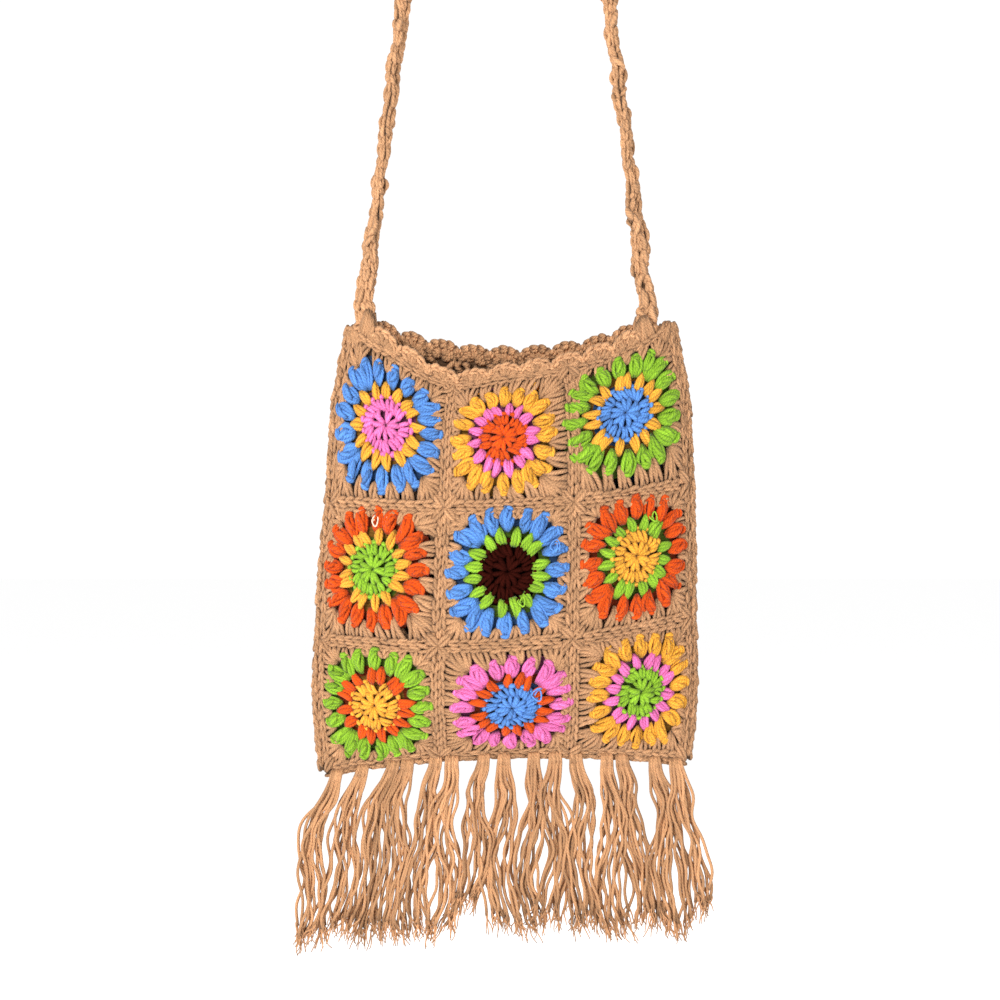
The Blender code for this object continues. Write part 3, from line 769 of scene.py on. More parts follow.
def work_petals(rng, slot):
    """Second round: plump petals that point outwards."""
    angles = 2 * math.pi * (np.arange(PETALS) + 0.5) / PETALS + rng.uniform(-0.06, 0.06, PETALS)
    tips = angles + rng.normal(0, 0.07, PETALS)
    inner = PETAL_INNER + rng.uniform(-0.0008, 0.0008, PETALS)
    outer = PETAL_OUTER + rng.uniform(-0.0014, 0.0010, PETALS)
    width = rng.uniform(0.0070, 0.0082, PETALS)
    return [bundles(
        ring_places(inner, angles), ring_places(outer, tips), width, rng, count=3, low=0.0006, high=0.0028,
        thickness=0.0034, shape=(0.85, 0.25, 0.10), twist=0.9, slot=slot)]


def cluster_angles():
    """Angles of the clusters' roots and tips, and which of them stand at a corner."""
    roots, tips, corner = [], [], []
    for quarter in range(4):
        start = quarter * math.pi / 2
        for places, at_corner in ((SIDE_CLUSTERS, False), (CORNER_CLUSTERS, True)):
            for root, tip in places:
                roots.append(start + math.radians(root))
                tips.append(start + math.radians(tip))
                corner.append(at_corner)
    return np.array(roots), np.array(tips), np.array(corner)


def work_clusters(rng, slot):
    """Third round: clusters that fan out to the rounded square.

    Each is closed by a knob at its tip and has a slanted strand over it.
    """
    roots, tips, corner = cluster_angles()
    roots = roots + rng.uniform(-0.03, 0.03, CLUSTERS)
    tips = tips + rng.uniform(-0.025, 0.025, CLUSTERS)
    reach = np.where(corner, CLUSTER_CORNER_OUTER, CLUSTER_OUTER) + rng.uniform(-0.0008, 0.0006, CLUSTERS)
    base = ring_places(CLUSTER_INNER + rng.uniform(-0.0006, 0.0006, CLUSTERS), roots)
    tip = ring_places(reach, tips)
    width = rng.uniform(0.0100, 0.0116, CLUSTERS)
    leaves = bundles(
        base, tip, width, rng, count=4, low=0.0004, high=0.0028, thickness=0.0036,
        shape=(0.34, 0.55, 0.50), twist=0.8, slot=slot)
    run = tip - base
    across = unit_across(run)
    outward = run / np.linalg.norm(run, axis=1, keepdims=True)
    knob = tip - 0.0022 * outward
    tilt = 0.0016 * rng.uniform(-1, 1, (CLUSTERS, 1)) * outward
    knobs = bundles(
        knob - 0.0032 * across + tilt, knob + 0.0032 * across - tilt, 0.0056, rng, count=2,
        low=0.0002, high=0.0036, thickness=0.0032, shape=(0.6, 0.5, 0.6), bow=0.0, slot=slot)
    slant = 0.0021 * rng.choice((-1, 1), (CLUSTERS, 1)) * across
    wraps = bundles(
        base + 0.30 * run - slant, tip - 0.16 * run + slant, 0.0030, rng, count=1,
        low=0.0024, high=0.0046, thickness=0.0031, slot=slot)
    return [leaves, knobs, wraps]


def work_border(rng, half_side, fit):
    """Last round: posts from between the clusters, and a chain along the edge.

    At each corner the posts fan out, and a star's arm reaches to the next square.
    """
    edge = half_side - BRAID_OFFSET
    inside = edge - 0.0012
    base, tip = [], []
    for quarter in range(4):
        turn = quarter * math.pi / 2
        spin = np.array(((math.cos(turn), math.sin(turn)), (-math.sin(turn), math.cos(turn))))
        for gap, tops in BORDER_POSTS:
            angle = math.radians(gap)
            root = BORDER_GAP_REACH * np.array((math.cos(angle), math.sin(angle)))
            for top in tops:
                base.append(root @ spin)
                tip.append(np.array((inside, top)) @ spin)
        root = np.array(CORNER_FAN_ROOT)
        for top in CORNER_FAN_TOPS:
            base.append(root @ spin)
            tip.append(np.array((inside, top)) @ spin)
            base.append(root[::-1] @ spin)
            tip.append(np.array((top, inside)) @ spin)
    base, tip = np.array(base), np.array(tip)
    base = base * np.array(fit[2:]) + np.array(fit[:2]) + rng.normal(0, 0.0004, base.shape)
    posts = bundles(base, tip, 0.0068, rng, thickness=0.0033, low=0.0002, high=0.0026, shape=(0.2, 0.6, 0.7))
    diagonal = math.pi * (0.25 + 0.5 * np.arange(4))
    stars = bundles(
        ring_places(0.0520, diagonal), ring_places(0.0648, diagonal), 0.0062, rng,
        thickness=0.0032, low=0.0004, high=0.0034, shape=(0.3, 0.5, 0.3))
    turns = rounded_square(edge, CORNER_ROUNDING, BRAID_STITCHES + 1)
    braid = chains(turns, BRAID_YARN, rng, low=0.0006, high=0.0024)
    return [posts, braid, stars]


def rounded_square(half_side, rounding, count):
    """Points evenly spaced round a square with round corners, back to the first.

    The distance round is split over four sides, each a straight stretch and a
    quarter circle.
    """
    straight = 2 * (half_side - rounding)
    quarter = 0.5 * math.pi * rounding
    distance = np.linspace(0, 4 * (straight + quarter), count)
    side = np.floor(distance / (straight + quarter) + 1e-9)
    rest = distance - side * (straight + quarter)
    turn = np.clip((rest - straight) / rounding, 0, 0.5 * math.pi)
    x = half_side - rounding + rounding * np.cos(turn)
    y = -half_side + rounding + np.minimum(rest, straight) + rounding * np.sin(turn)
    angle = 0.5 * math.pi * side
    return np.stack((x * np.cos(angle) - y * np.sin(angle), x * np.sin(angle) + y * np.cos(angle)), axis=1)


def place_batches(batches, shift, stretch=(1.0, 1.0)):
    """Stretch flat work about its middle, and shift it."""
    for batch in batches:
        key = "web" if "web" in batch else "paths"
        batch[key] = batch[key] * np.array((*stretch, 1.0)) + np.array((*shift, 0.0))
    return batches


class BAG_OT_work_squares(bpy.types.Operator):
    """Work the nine granny squares of both walls"""

    bl_idname = "bag.work_squares"
    bl_label = "Work Squares"

    def execute(self, context):
        for side, wall in ((FRONT, "front"), (BACK, "back")):
            bend = wall_bend(side)
            for row in range(ROWS):
                for column in range(COLUMNS):
                    self.square(side, wall, bend, row, column)
        return {"FINISHED"}

    def square(self, side, wall, bend, row, column):
        """Coloured rounds of one square, and the tan border round them."""
        rng = np.random.default_rng(1000 * (side + 2) + 10 * row + column)
        name = f"{wall}_{row + 1}_{column + 1}"
        middle = ((column - 1) * SQUARE_SIDE, -(row + 0.5) * SQUARE_SIDE)
        half_side = 0.5 * SQUARE_SIDE
        fit = SQUARE_FITS[row][column] if side == FRONT else EVEN_FIT
        yarns = ROUND_COLOURS[row][column]
        materials = [yarn_material(yarn) for yarn in yarns]
        angles = 2 * math.pi * np.arange(WEB_SIDES) / WEB_SIDES
        edge = medallion_outline(MEDALLION_HALF_WIDTH, angles)
        rounds = work_centre(rng, 2) + work_petals(rng, 1) + work_clusters(rng, 0)
        rounds += inner_faces(rounds, INNER_STEP, INNER_SWELL)
        # Painted shade: a dark sheet behind the rounds fills the gaps between stitches
        rounds.append(web_batch(0.01 * edge, edge, ROUND_WEB_SLOTS))
        place_batches(rounds, fit[:2], fit[2:])
        work_piece(
            f"rounds_{name}", place_batches(rounds, middle), bend, materials,
            [f"medallion_{name}"])
        border = work_border(rng, half_side, fit)
        border += inner_faces(border, INNER_STEP, INNER_SWELL)
        # Painted shade: a dark sheet behind the border
        border.append(web_batch(0.96 * edge, square_outline(half_side, angles), (0, 0)))
        work_piece(
            f"border_{name}", place_batches(border, middle), bend, [yarn_material("tan")],
            [f"square_{name}"])


class BAG_OT_leave_tails(bpy.types.Operator):
    """Leave a few curled yarn tails on the front wall"""

    bl_idname = "bag.leave_tails"
    bl_label = "Leave Tails"

    def execute(self, context):
        batches = []
        for number, (row, column, x, y, width, colour) in enumerate(TAILS):
            rng = np.random.default_rng(700 + number)
            turn = np.linspace(0, 2 * math.pi * TAIL_TURNS, TAIL_POINTS) + rng.uniform(0, 6)
            grow = np.linspace(1.0, 0.45, TAIL_POINTS) * 0.5 * width
            middle_x = (column - 1) * SQUARE_SIDE + x
            middle_y = -(row + 0.5) * SQUARE_SIDE + y
            path = np.stack((
                middle_x + grow * np.cos(turn),
                middle_y + 1.2 * grow * np.sin(turn) + 0.001 * np.sin(2 * turn),
                0.0056 + 0.0010 * np.sin(1.5 * turn)), axis=1)
            # Painted shadow under each tail, and painted shade at its ends
            batches.append({
                "paths": path[None], "radii": np.full((1, TAIL_POINTS), TAIL_RADIUS),
                "shades": np.array([TAIL_SHADE]), "slot": TAIL_COLOURS.index(colour),
                "sides": 6, "up": UP, "painted_end_shade_reach": 0.02, "shadow": TAIL_SHADOW})
        materials = [yarn_material(name) for name in TAIL_COLOURS]
        work_piece("yarn_tails", batches, wall_bend(FRONT), materials, [])
        return {"FINISHED"}


def across_at_share(share):
    """Place across a wall, in squares, whose distance from the middle is a share of the half width."""
    return 0.5 * COLUMNS * math.asin(share * math.sin(SECTION_HALF_TURN)) / SECTION_HALF_TURN


def edging_ends(side):
    """Flat X at which the edging of a wall starts and ends, between the feet of the strap."""
    mouth_half_width = HALF_WIDTH * float(course("width", 0.0))
    reach = {}
    for hand in (-1, 1):
        share = STRAP_SEATS[hand] - FOOT_HALF_WIDTH / mouth_half_width
        reach[hand] = hand * across_at_share(share) * SQUARE_SIDE
    return (reach[-1], reach[1]) if side == FRONT else (-reach[1], -reach[-1])


class BAG_OT_work_edging(bpy.types.Operator):
    """Work the scalloped edging along both rims of the mouth"""

    bl_idname = "bag.work_edging"
    bl_label = "Work Edging"

    def execute(self, context):
        for side, wall in ((FRONT, "front"), (BACK, "back")):
            rng = np.random.default_rng(300 + side)
            start, end = edging_ends(side)
            pitch = (end - start) / SCALLOPS
            middles = start + pitch * (np.arange(SCALLOPS) + 0.5)
            fan = np.radians(np.linspace(-62, 62, 5))
            centre = np.repeat(middles, len(fan))
            lean = np.tile(fan, SCALLOPS) + rng.normal(0, 0.05, len(centre))
            base = np.stack((centre + 0.0030 * np.sin(lean), 0.0006 + 0.0 * lean), axis=1)
            tip = np.stack((centre + 0.44 * pitch * np.sin(lean), 0.0012 + 0.0064 * np.cos(lean)), axis=1)
            posts = bundles(
                base, tip, 0.0060, rng, thickness=0.0034, low=0.0002, high=0.0018, shape=(0.2, 0.6, 0.7))
            turns = np.radians(np.linspace(-84, 84, 6))
            rim_x = (middles[:, None] + 0.47 * pitch * np.sin(turns)).ravel()
            rim_y = np.tile(0.0024 + 0.0062 * np.cos(turns), SCALLOPS)
            rim = np.stack((rim_x, rim_y), axis=1)
            # Painted light: the rim chains are brightened
            rim = chains(rim, BRAID_YARN, rng, low=0.0002, high=0.0024, tone_and_painted_light=RIM_PAINTED_LIGHT)
            knots = np.linspace(start, end, 34)
            root = chains(np.stack((knots, np.full(len(knots), 0.0008)), axis=1), BRAID_YARN, rng)
            # Painted shade: a dark sheet behind the shells
            web = self.web(start, end, middles, pitch)
            batches = [posts, rim, root] + self.corners(side, start, end, rng)
            for batch in batches:
                batch["shadow"] = EDGING_SHADOW
            batches += inner_faces(batches, EDGING_INNER_STEP, EDGING_INNER_SWELL)
            work_piece(
                f"scallops_{wall}", batches + [web], wall_bend(side), [yarn_material("tan")],
                [f"edging_{wall}"])
        return {"FINISHED"}

    def corners(self, side, start, end, rng):
        """Posts that gather to the feet of the strap, and a rounded shell at each corner of the mouth."""
        batches = []
        corner = 0.5 * COLUMNS * SQUARE_SIDE
        for hand, foot in ((-1, start), (1, end)):
            foot = foot + FOOT_HALF_WIDTH * hand
            spread = np.linspace(-0.0080, 0.0080, 5)
            base = np.stack((foot + spread, np.full(5, -0.0020)), axis=1)
            tip = np.stack((foot + 0.40 * spread, 0.0150 - 0.25 * np.abs(spread)), axis=1)
            batches.append(bundles(base, tip, 0.0058, rng, thickness=0.0036, low=0.0006, high=0.0022))
            middle = hand * (corner - 0.0050)
            reach = 0.0074
            fan = 0.5 * math.pi - hand * np.radians(np.array((-38, -8, 24, 56, 88)))
            root = np.stack((middle + 0.002 * np.cos(fan), -0.0066 + 0.001 * np.sin(fan)), axis=1)
            top = np.stack((middle + reach * np.cos(fan), -0.0076 + reach * np.sin(fan)), axis=1)
            batches.append(bundles(root, top, 0.0062, rng, thickness=0.0037, low=0.0004, high=0.0024))
            around = 0.5 * math.pi - hand * np.radians(np.linspace(-60, 108, 7))
            ring_x = middle + (reach + 0.0008) * np.cos(around)
            ring = np.stack((ring_x, -0.0076 + reach * np.sin(around)), axis=1)
            batches.append(chains(ring, BRAID_YARN, rng, low=0.0002, high=0.0022))
        return batches

    def web(self, start, end, middles, pitch):
        """Thin sheet behind the shells, as high as the scallops less a little, coloured dark as painted
        shade.
        """
        places = np.linspace(start, end, 109)
        nearest = middles[np.argmin(np.abs(places[:, None] - middles), axis=1)]
        share = np.clip(1 - ((places - nearest) / (0.5 * pitch)) ** 2, 0, 1)
        top = np.stack((places, 0.0022 + 0.0048 * np.sqrt(share)), axis=1)
        low = np.stack((places, np.zeros(len(places))), axis=1)
        loop = np.concatenate((low, top[::-1]))
        count = len(loop)
        points = np.concatenate([np.column_stack((loop, np.full(count, z))) for z in (-0.0008, -0.0014)])
        index = np.arange(len(places) - 1)
        opposite = count - 1 - index
        front = np.stack((index, index + 1, opposite - 1, opposite), axis=1)
        around = np.arange(count)
        after = (around + 1) % count
        rim = np.stack((around, around + count, after + count, after), axis=1)
        faces = np.concatenate((front, front[:, ::-1] + count, rim))
        return {"web": points, "faces": faces, "face_slots": np.zeros(len(faces)), "shade": EDGING_WEB_PAINTED_SHADE}


def core_batch(length, around, levels, sides, depth):
    """Tube under the stitches of a cord, open at both ends, coloured dark as painted shade."""
    along = np.linspace(0, length, levels)
    turn = -around * np.arange(sides) / sides
    grid = np.stack(np.meshgrid(along, turn, indexing="ij"), axis=-1).reshape(-1, 2)
    points = np.column_stack((grid, np.full(len(grid), depth)))
    level = (np.arange(levels - 1) * sides)[:, None]
    place = np.arange(sides)
    after = (place + 1) % sides
    faces = np.stack((level + place, level + after, level + after + sides, level + place + sides), axis=-1)
    faces = faces.reshape(-1, 4)
    return {"web": points, "faces": faces, "face_slots": np.zeros(len(faces)), "shade": WEB_PAINTED_SHADE}


def wall_edges(columns, rows):
    """Points midway through both walls, the front first, at the same places."""
    return [wall_middle(side, columns, rows) for side in (FRONT, BACK)]


def seam_routes():
    """Middle line of each seam, the direction in which it faces out of the bag, and its name."""
    routes = []
    for hand in (-1, 1):
        edge = np.full(SEAM_POINTS, 0.5 * COLUMNS * hand)
        front, back = wall_edges(edge, np.linspace(ROWS, 0.0, SEAM_POINTS))
        x = hand * np.maximum(hand * front[:, 0], hand * back[:, 0]) + hand * 0.0018
        points = np.stack((x, np.zeros(SEAM_POINTS), front[:, 2]), axis=1)
        routes.append((points, (hand, 0.0, 0.0), "left" if hand < 0 else "right"))
    places = 0.5 * COLUMNS * np.linspace(-1, 1, SEAM_POINTS)
    front, back = wall_edges(places, np.full(SEAM_POINTS, float(ROWS)))
    z = np.minimum(front[:, 2], back[:, 2]) - 0.0014
    points = np.stack((front[:, 0], np.zeros(SEAM_POINTS), z), axis=1)
    routes.append((points, (0.0, 0.0, -1.0), "bottom"))
    return routes


class BAG_OT_work_seams(bpy.types.Operator):
    """Work the chains that join the two walls at the sides and the bottom"""

    bl_idname = "bag.work_seams"
    bl_label = "Work Seams"

    def execute(self, context):
        for number, (points, out, label) in enumerate(seam_routes()):
            rng = np.random.default_rng(400 + number)
            outs = np.broadcast_to(out, points.shape)
            half = np.full(len(points), SEAM_RADIUS)
            bend, length = route_bend(points, outs, half, half, SEAM_AROUND)
            count = round(length / context.scene.bag_stitches.chain_pitch)
            # Painted shade: a dark tube under the chains of the seam
            batches = [core_batch(length, SEAM_AROUND, SEAM_POINTS, 10, -0.0004)]
            for place in SEAM_CHAINS:
                along = np.linspace(0, length, count + 1) + (0.003 if place else 0.0)
                along[-1] = length
                line = np.stack((along, np.full(count + 1, place * SEAM_AROUND)), axis=1)
                batches.append(chains(line, BRAID_YARN, rng, low=-0.0004, high=0.0010))
            node = "bottom_seam" if label == "bottom" else f"side_seam_{label}"
            work_piece(f"chain_{label}", batches, bend, [yarn_material("tan")], [node])
        return {"FINISHED"}


def mouth_level(x):
    """Height of the higher wall's edge at the mouth over a place along X."""
    share = (x - HALF_WIDTH * course("lean", 0.0)) / (HALF_WIDTH * course("width", 0.0))
    column = across_at_share(float(share))
    return max(float(wall_middle(side, column, 0.0)[2]) for side in (FRONT, BACK))


def strand_line(hand):
    """Middle line of one strand from the top of the peg down to its foot.

    With it come the share of the way to the foot's top, and that down the foot.
    """
    radius = PEG_RADIUS + 0.5 * STRAP_THICKNESS
    x = float(HALF_WIDTH * (course("lean", 0.0) + hand * STRAP_SEATS[hand] * course("width", 0.0)))
    foot = np.array((x, 0.0, mouth_level(x)))
    neck = foot + np.array((0.0, 0.0, STRAP_FOOT_HEIGHT))
    centre = np.array((0.0, 0.0, -PEG_RADIUS))
    offset = neck - centre
    tangent_turn = math.pi / 2 - math.atan2(offset[2], hand * offset[0])
    tangent_turn = max(0.1, tangent_turn - math.acos(radius / np.linalg.norm(offset)))
    turns = np.linspace(0, tangent_turn, 20, endpoint=False)
    arc = centre + radius * np.stack((hand * np.sin(turns), 0 * turns, np.cos(turns)), axis=1)
    start = centre + radius * np.array((hand * math.sin(tangent_turn), 0.0, math.cos(tangent_turn)))
    line = start + (neck - start) * np.linspace(0, 1, 120)[:, None]
    foot_line = neck + (foot - neck) * np.linspace(0, 1, 8)[1:, None]
    points = np.concatenate((arc, line, foot_line))
    steps = np.linalg.norm(np.diff(points, axis=0), axis=1)
    distance = np.concatenate(([0.0], np.cumsum(steps)))
    total = distance[len(arc) + len(line) - 1]
    return points, np.clip(distance / total, 0, 1), np.maximum(distance - total, 0) / STRAP_FOOT_HEIGHT


def strap_frame():
    """Middle line of the strap from the left foot over the peg to the right foot.

    With it come the direction of its width, and its half width and half depth.
    """
    lines, outs, widths, depths = [], [], [], []
    for hand in (-1, 1):
        points, share, footing = strand_line(hand)
        if hand < 0:
            points, share, footing = points[:0:-1], share[:0:-1], footing[:0:-1]
        run = np.gradient(points, axis=0)
        run /= np.linalg.norm(run, axis=1, keepdims=True)
        turn = np.radians(read_table(TURNS, TURN_COLUMNS, "left" if hand < 0 else "right", share))
        flat = np.array((0.0, 1.0, 0.0))
        across = np.cos(turn)[:, None] * flat + np.sin(turn)[:, None] * np.cross(run, flat)
        lines.append(points)
        outs.append(across)
        widths.append(CORE_HALF_WIDTH[0] + CORE_HALF_WIDTH[1] * footing)
        depths.append(CORE_HALF_DEPTH[0] + CORE_HALF_DEPTH[1] * footing)
    points, outs, widths, depths = (np.concatenate(parts) for parts in (lines, outs, widths, depths))
    beat = np.linspace(0, 1, len(points))[:, None] * np.array((31.0, 47.0, 59.0)) * 2 * math.pi
    points = points + 0.0007 * np.sin(beat) * np.array((1.0, 0.8, 0.0))
    widths = widths * (1 + 0.10 * np.sin(beat[:, 2] + 1.0))
    return points, outs, widths, depths


class BAG_OT_work_strap(bpy.types.Operator):
    """Work the shoulder strap: chains round a twisted band, and loose strands across them"""

    bl_idname = "bag.work_strap"
    bl_label = "Work Strap"

    def execute(self, context):
        rng = np.random.default_rng(500)
        points, outs, widths, depths = strap_frame()
        bend, length = route_bend(points, outs, widths, depths, STRAP_AROUND)
        count = round(length / STRAP_PITCH)
        # Painted shade: a dark tube under the chains of the strap
        batches = [core_batch(length, STRAP_AROUND, 200, 14, -0.0005)]
        for degrees in STRAP_CHAINS:
            along = np.linspace(0, length, count + 1)
            along[1:-1] += rng.normal(0, 0.0012, count - 1)
            sway = 0.0009 * np.sin(along / 0.013 + degrees) + rng.normal(0, 0.0007, count + 1)
            line = np.stack((along, STRAP_AROUND * degrees / 360 + sway), axis=1)
            # Painted light: the chains of the strap are brightened
            batches.append(chains(
                line, STRAP_YARN, rng, width=0.0062, low=-0.0012, high=0.0016, tone_and_painted_light=STRAP_PAINTED_LIGHT))
        begin = np.sort(rng.uniform(0, length - 0.016, LOOSE_STRANDS))
        edges = STRAP_AROUND * rng.choice((0.25, 0.75), LOOSE_STRANDS) + rng.normal(0, 0.0030, LOOSE_STRANDS)
        base = np.stack((begin, edges), axis=1)
        run_along = rng.uniform(0.006, 0.015, LOOSE_STRANDS)
        tip = base + np.stack((run_along, rng.normal(0, 0.0036, LOOSE_STRANDS)), axis=1)
        # Painted light: the loose strands of the strap are brightened
        batches.append(bundles(
            base, tip, 0.004, rng, thickness=0.0031, count=1, low=-0.0006, high=0.0024, tone_and_painted_light=LOOSE_PAINTED_LIGHT))
        work_piece("strap_braid", batches, bend, [yarn_material("tan")], ["strap"])
        return {"FINISHED"}


class BAG_OT_tie_fringe(bpy.types.Operator):
    """Tie the fifteen tassels along the bottom seam"""

    bl_idname = "bag.tie_fringe"
    bl_label = "Tie Fringe"

    def execute(self, context):
        for index, tassel in enumerate(TASSELS):
            rng = np.random.default_rng(600 + index)
            number = f"{index + 1:02d}"
            work_piece(
                f"yarns_{number}", self.ends(index, tassel, rng), None, [yarn_material("fringe")],
                [f"tassel_{number}"])
        return {"FINISHED"}

    def seat(self, place):
        """Point just under the bottom seam, from which a tassel's length is counted."""
        near = np.array((-1, 0, 1)) * 0.0042 / HALF_WIDTH + place
        front, back = wall_edges(0.5 * COLUMNS * near, np.full(3, float(ROWS)))
        level = min(front[:, 2].min(), back[:, 2].min()) - 0.0117
        return np.array((front[1, 0], 0.0, level))

    def ends(self, index, tassel, rng):
        """Yarn ends of one tassel, from their fold over the seam down to the frays.

        They start in front of the seam and behind it, spread to the foot of
        the tassel, and follow one wave that they share and two of their own,
        which grow below the seam.
        """
        count = bpy.context.scene.bag_stitches.fringe_ends
        yarn = bpy.context.scene.bag_stitches.fringe_yarn
        seat = self.seat(tassel[0])
        pitch = FRINGE_FOOT_WIDTH / len(TASSELS)
        foot = FRINGE_SWAY + (index - 0.5 * (len(TASSELS) - 1)) * pitch
        places = (np.arange(count) + 0.5) / count * 2 - 1
        places = places + rng.uniform(-0.10, 0.10, count)
        reach = np.interp(places, (-0.67, 0.0, 0.67), tassel[1:]) * rng.uniform(0.95, 1.02, count)
        share = np.linspace(0, 1, YARN_POINTS) ** 1.3
        drop = (FRINGE_LENGTH * reach[:, None] - 0.75 * FRAY_LENGTH) * share
        start_x = seat[0] + 0.0033 * places
        end_x = foot + 0.52 * pitch * places + rng.normal(0, 0.0012, count)
        spread = 0.35 * share + 0.65 * np.sin(0.5 * math.pi * np.minimum(1.7 * share, 1)) ** 1.5
        x = start_x[:, None] + (end_x - start_x)[:, None] * spread
        face = np.where(np.arange(count) % 2 == 0, -1.0, 1.0)[:, None]
        top = drop * (1 + FOLD_RISE / FRINGE_LENGTH)
        over = 0.0026 + 0.0028 * np.sin(math.pi * np.clip(top / 0.0080, 0, 1))
        below = np.clip((top - 0.0060) / 0.0120, 0, 1)
        y = face * (over - 0.0014 * below) + 0.0012 * rng.uniform(-1, 1, (count, 1)) * below
        shared = rng.uniform(0, 2 * math.pi, (2, 1, 1))
        own = rng.uniform(0, 2 * math.pi, (2, count, 1))
        grow = np.clip((top - 0.008) / 0.02, 0, 1)
        stray = rng.uniform(0.4, 2.3, (count, 1))
        waves = ((TASSEL_WAVE, 1.0, shared), (YARN_WAVE, stray, own), (CRIMP_WAVE, 1.0, own[::-1]))
        for (length, size), more, phase in waves:
            beat = 2 * math.pi / (length * rng.uniform(0.85, 1.2, (len(phase[0]), 1)))
            x = x + size * more * grow * np.sin(beat * drop + phase[0])
            y = y + 0.6 * size * more * grow * np.sin(beat * drop + phase[1])
        z = seat[2] + FOLD_RISE + rng.uniform(-0.0016, 0.0, (count, 1)) - top
        shades = np.clip(0.98 + rng.normal(0, 0.14, count), 0.68, 1.25)
        paths = np.stack((x, y, z), axis=-1)
        # Painted shadow on the back of each yarn, and painted shade at both its ends
        yarns = {
            "paths": paths, "radii": np.full(x.shape, 0.5 * yarn), "shades": shades, "slot": 0,
            "sides": 5, "up": FORWARD, "painted_end_shade_reach": 0.06, "shadow": FRINGE_SHADOW}
        return [yarns, self.frays(paths, yarn, shades, rng)]

    def frays(self, paths, yarn, shades, rng):
        """Loose plies that part below each yarn end."""
        last = paths[:, -2]
        run = paths[:, -1] - last
        run = run / np.linalg.norm(run, axis=1, keepdims=True)
        share = np.linspace(0, 1, FRAY_POINTS)
        length = FRAY_LENGTH * rng.uniform(0.4, 0.9, (len(paths), PLIES, 1))
        side = rng.normal(0, 0.0020, (len(paths), PLIES, 1, 2))
        start = rng.uniform(-0.28, 0.28, (len(paths), PLIES, 1, 2)) * yarn
        curl = rng.normal(0, 0.0008, (len(paths), PLIES, 1, 2))
        across = start + side * (share**1.5)[:, None] + curl * np.sin(2 * math.pi * share)[:, None]
        points = last[:, None, None] + run[:, None, None] * (length * share)[..., None]
        points = points + np.concatenate((across, 0 * across[..., :1]), axis=-1)
        count = len(paths) * PLIES
        radii = np.broadcast_to(0.27 * yarn * (1 - 0.5 * share), (count, len(share)))
        # Painted shadow on the back of each ply
        return {
            "paths": points.reshape(count, -1, 3), "radii": radii,
            "shades": FRAY_SHADE * np.repeat(shades, PLIES), "slot": 0, "sides": 4,
            "up": FORWARD, "painted_end_shade_reach": 0.01, "shadow": FRAY_SHADOW, "twisted": 0.0}


def aim(direction):
    """Turn of a lamp or camera so that it looks along a direction, upright."""
    x, y, z = direction
    level = math.hypot(x, y)
    return (math.atan2(level, -z), 0.0, math.atan2(-x, y))


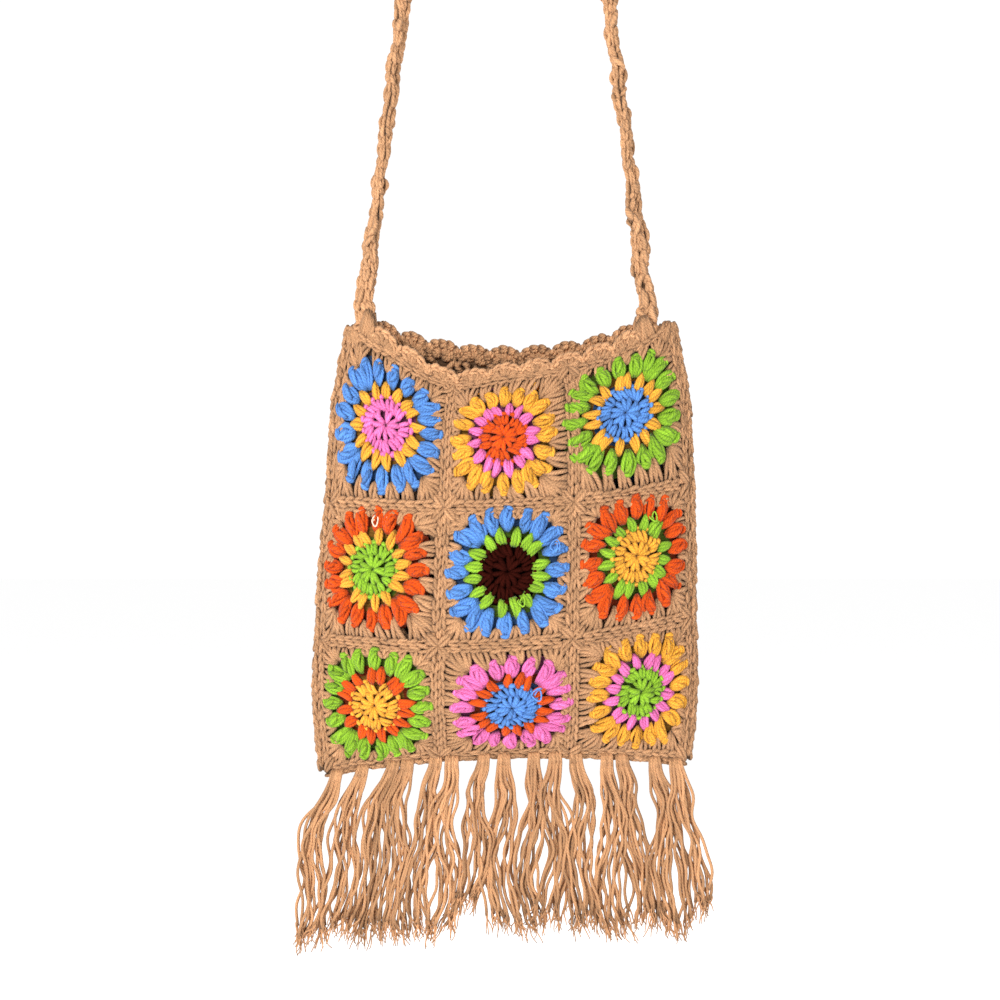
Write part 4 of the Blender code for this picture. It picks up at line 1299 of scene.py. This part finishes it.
class BAG_OT_build_stage(bpy.types.Operator):
    """Build the floor, the lights and the camera"""

    bl_idname = "bag.build_stage"
    bl_label = "Build Stage"

    def execute(self, context):
        self.floor()
        self.world()
        for light in LIGHTS:
            self.light(*light)
        self.camera()
        view = context.scene.view_settings
        view.view_transform = "Standard"
        view.look = "None"
        view.exposure = 0.0
        return {"FINISHED"}

    def floor(self):
        """Plain pale floor well below the bag."""
        mesh = bpy.data.meshes.new("floor")
        corners = [
            (x * FLOOR_REACH, y * FLOOR_REACH, FLOOR_LEVEL) for x, y in ((-1, -1), (1, -1), (1, 1), (-1, 1))]
        mesh.from_pydata(corners, [], [(0, 1, 2, 3)])
        material = bpy.data.materials.new("floor")
        material.use_nodes = True
        shader = material.node_tree.nodes["Principled BSDF"]
        shader.inputs["Base Color"].default_value = (0.9, 0.9, 0.9, 1.0)
        shader.inputs["Roughness"].default_value = 0.9
        shader.inputs["Emission Color"].default_value = WHITE
        shader.inputs["Emission Strength"].default_value = 0.6
        mesh.materials.append(material)
        floor = bpy.data.objects.new("floor", mesh)
        bpy.context.scene.collection.objects.link(floor)

    def world(self):
        """Even white surroundings, dimmer as a light than as a backdrop."""
        world = bpy.data.worlds.new("studio")
        bpy.context.scene.world = world
        world.use_nodes = True
        nodes = world.node_tree.nodes
        links = world.node_tree.links
        background = nodes["Background"]
        background.inputs["Color"].default_value = WHITE
        path = nodes.new("ShaderNodeLightPath")
        strength = nodes.new("ShaderNodeMapRange")
        strength.inputs["To Min"].default_value = WORLD_LIGHT
        strength.inputs["To Max"].default_value = WORLD_BACKDROP
        links.new(path.outputs["Is Camera Ray"], strength.inputs["Value"])
        links.new(strength.outputs["Result"], background.inputs["Strength"])

    def light(self, name, place, size, power, colour):
        """Soft square light that faces the bag."""
        lamp = bpy.data.lights.new(name, "AREA")
        lamp.shape = "SQUARE"
        lamp.size = size
        lamp.energy = power
        lamp.color = colour
        holder = bpy.data.objects.new(name, lamp)
        bpy.context.scene.collection.objects.link(holder)
        holder.location = place
        holder.rotation_euler = aim(np.array(LIGHT_TARGET) - np.array(place))

    def camera(self):
        """Camera in front of the pouch, a little above it."""
        settings = bpy.context.scene.bag_stage
        lens = bpy.data.cameras.new("camera")
        holder = bpy.data.objects.new("camera", lens)
        bpy.context.scene.collection.objects.link(holder)
        target = np.array(CAMERA_TARGET)
        back = np.array((0.0, -math.cos(settings.elevation), math.sin(settings.elevation)))
        place = target + settings.distance * back
        holder.location = place
        holder.rotation_euler = aim(target - place)
        lens.sensor_width = SENSOR_WIDTH
        lens.lens = SENSOR_WIDTH * settings.distance / settings.frame_height
        lens.clip_end = 30.0
        bpy.context.scene.camera = holder


class BAG_PT_panel(bpy.types.Panel):
    """Panel that lists the bag's settings and the buttons that work its pieces and stage"""

    bl_idname = "BAG_PT_panel"
    bl_label = "Granny Square Bag"
    bl_space_type = "VIEW_3D"
    bl_region_type = "UI"
    bl_category = "Bag"

    def draw(self, context):
        column = self.layout.column()
        for group in (context.scene.bag_yarns, context.scene.bag_stitches, context.scene.bag_stage):
            for key in group.bl_rna.properties.keys():
                if key not in ("rna_type", "name"):
                    column.prop(group, key)
        for operator in OPERATORS:
            column.operator(operator.bl_idname)


OPERATORS = (
    BAG_OT_work_squares,
    BAG_OT_leave_tails,
    BAG_OT_work_edging,
    BAG_OT_work_seams,
    BAG_OT_work_strap,
    BAG_OT_tie_fringe,
    BAG_OT_build_stage,
)
GROUPS = (
    (BagYarnColours, "bag_yarns"),
    (BagStitchSizes, "bag_stitches"),
    (BagStageSettings, "bag_stage"),
)


def register():
    for group, name in GROUPS:
        bpy.utils.register_class(group)
        setattr(bpy.types.Scene, name, bpy.props.PointerProperty(type=group))
    for operator in OPERATORS:
        bpy.utils.register_class(operator)
    bpy.utils.register_class(BAG_PT_panel)


def unregister():
    bpy.utils.unregister_class(BAG_PT_panel)
    for operator in reversed(OPERATORS):
        bpy.utils.unregister_class(operator)
    for group, name in reversed(GROUPS):
        delattr(bpy.types.Scene, name)
        bpy.utils.unregister_class(group)


def main():
    """Work every piece."""
    register()
    bpy.ops.bag.work_squares()
    bpy.ops.bag.leave_tails()
    bpy.ops.bag.work_edging()
    bpy.ops.bag.work_seams()
    bpy.ops.bag.work_strap()
    bpy.ops.bag.tie_fringe()
    bpy.ops.bag.build_stage()


if __name__ == "__main__":
    main()
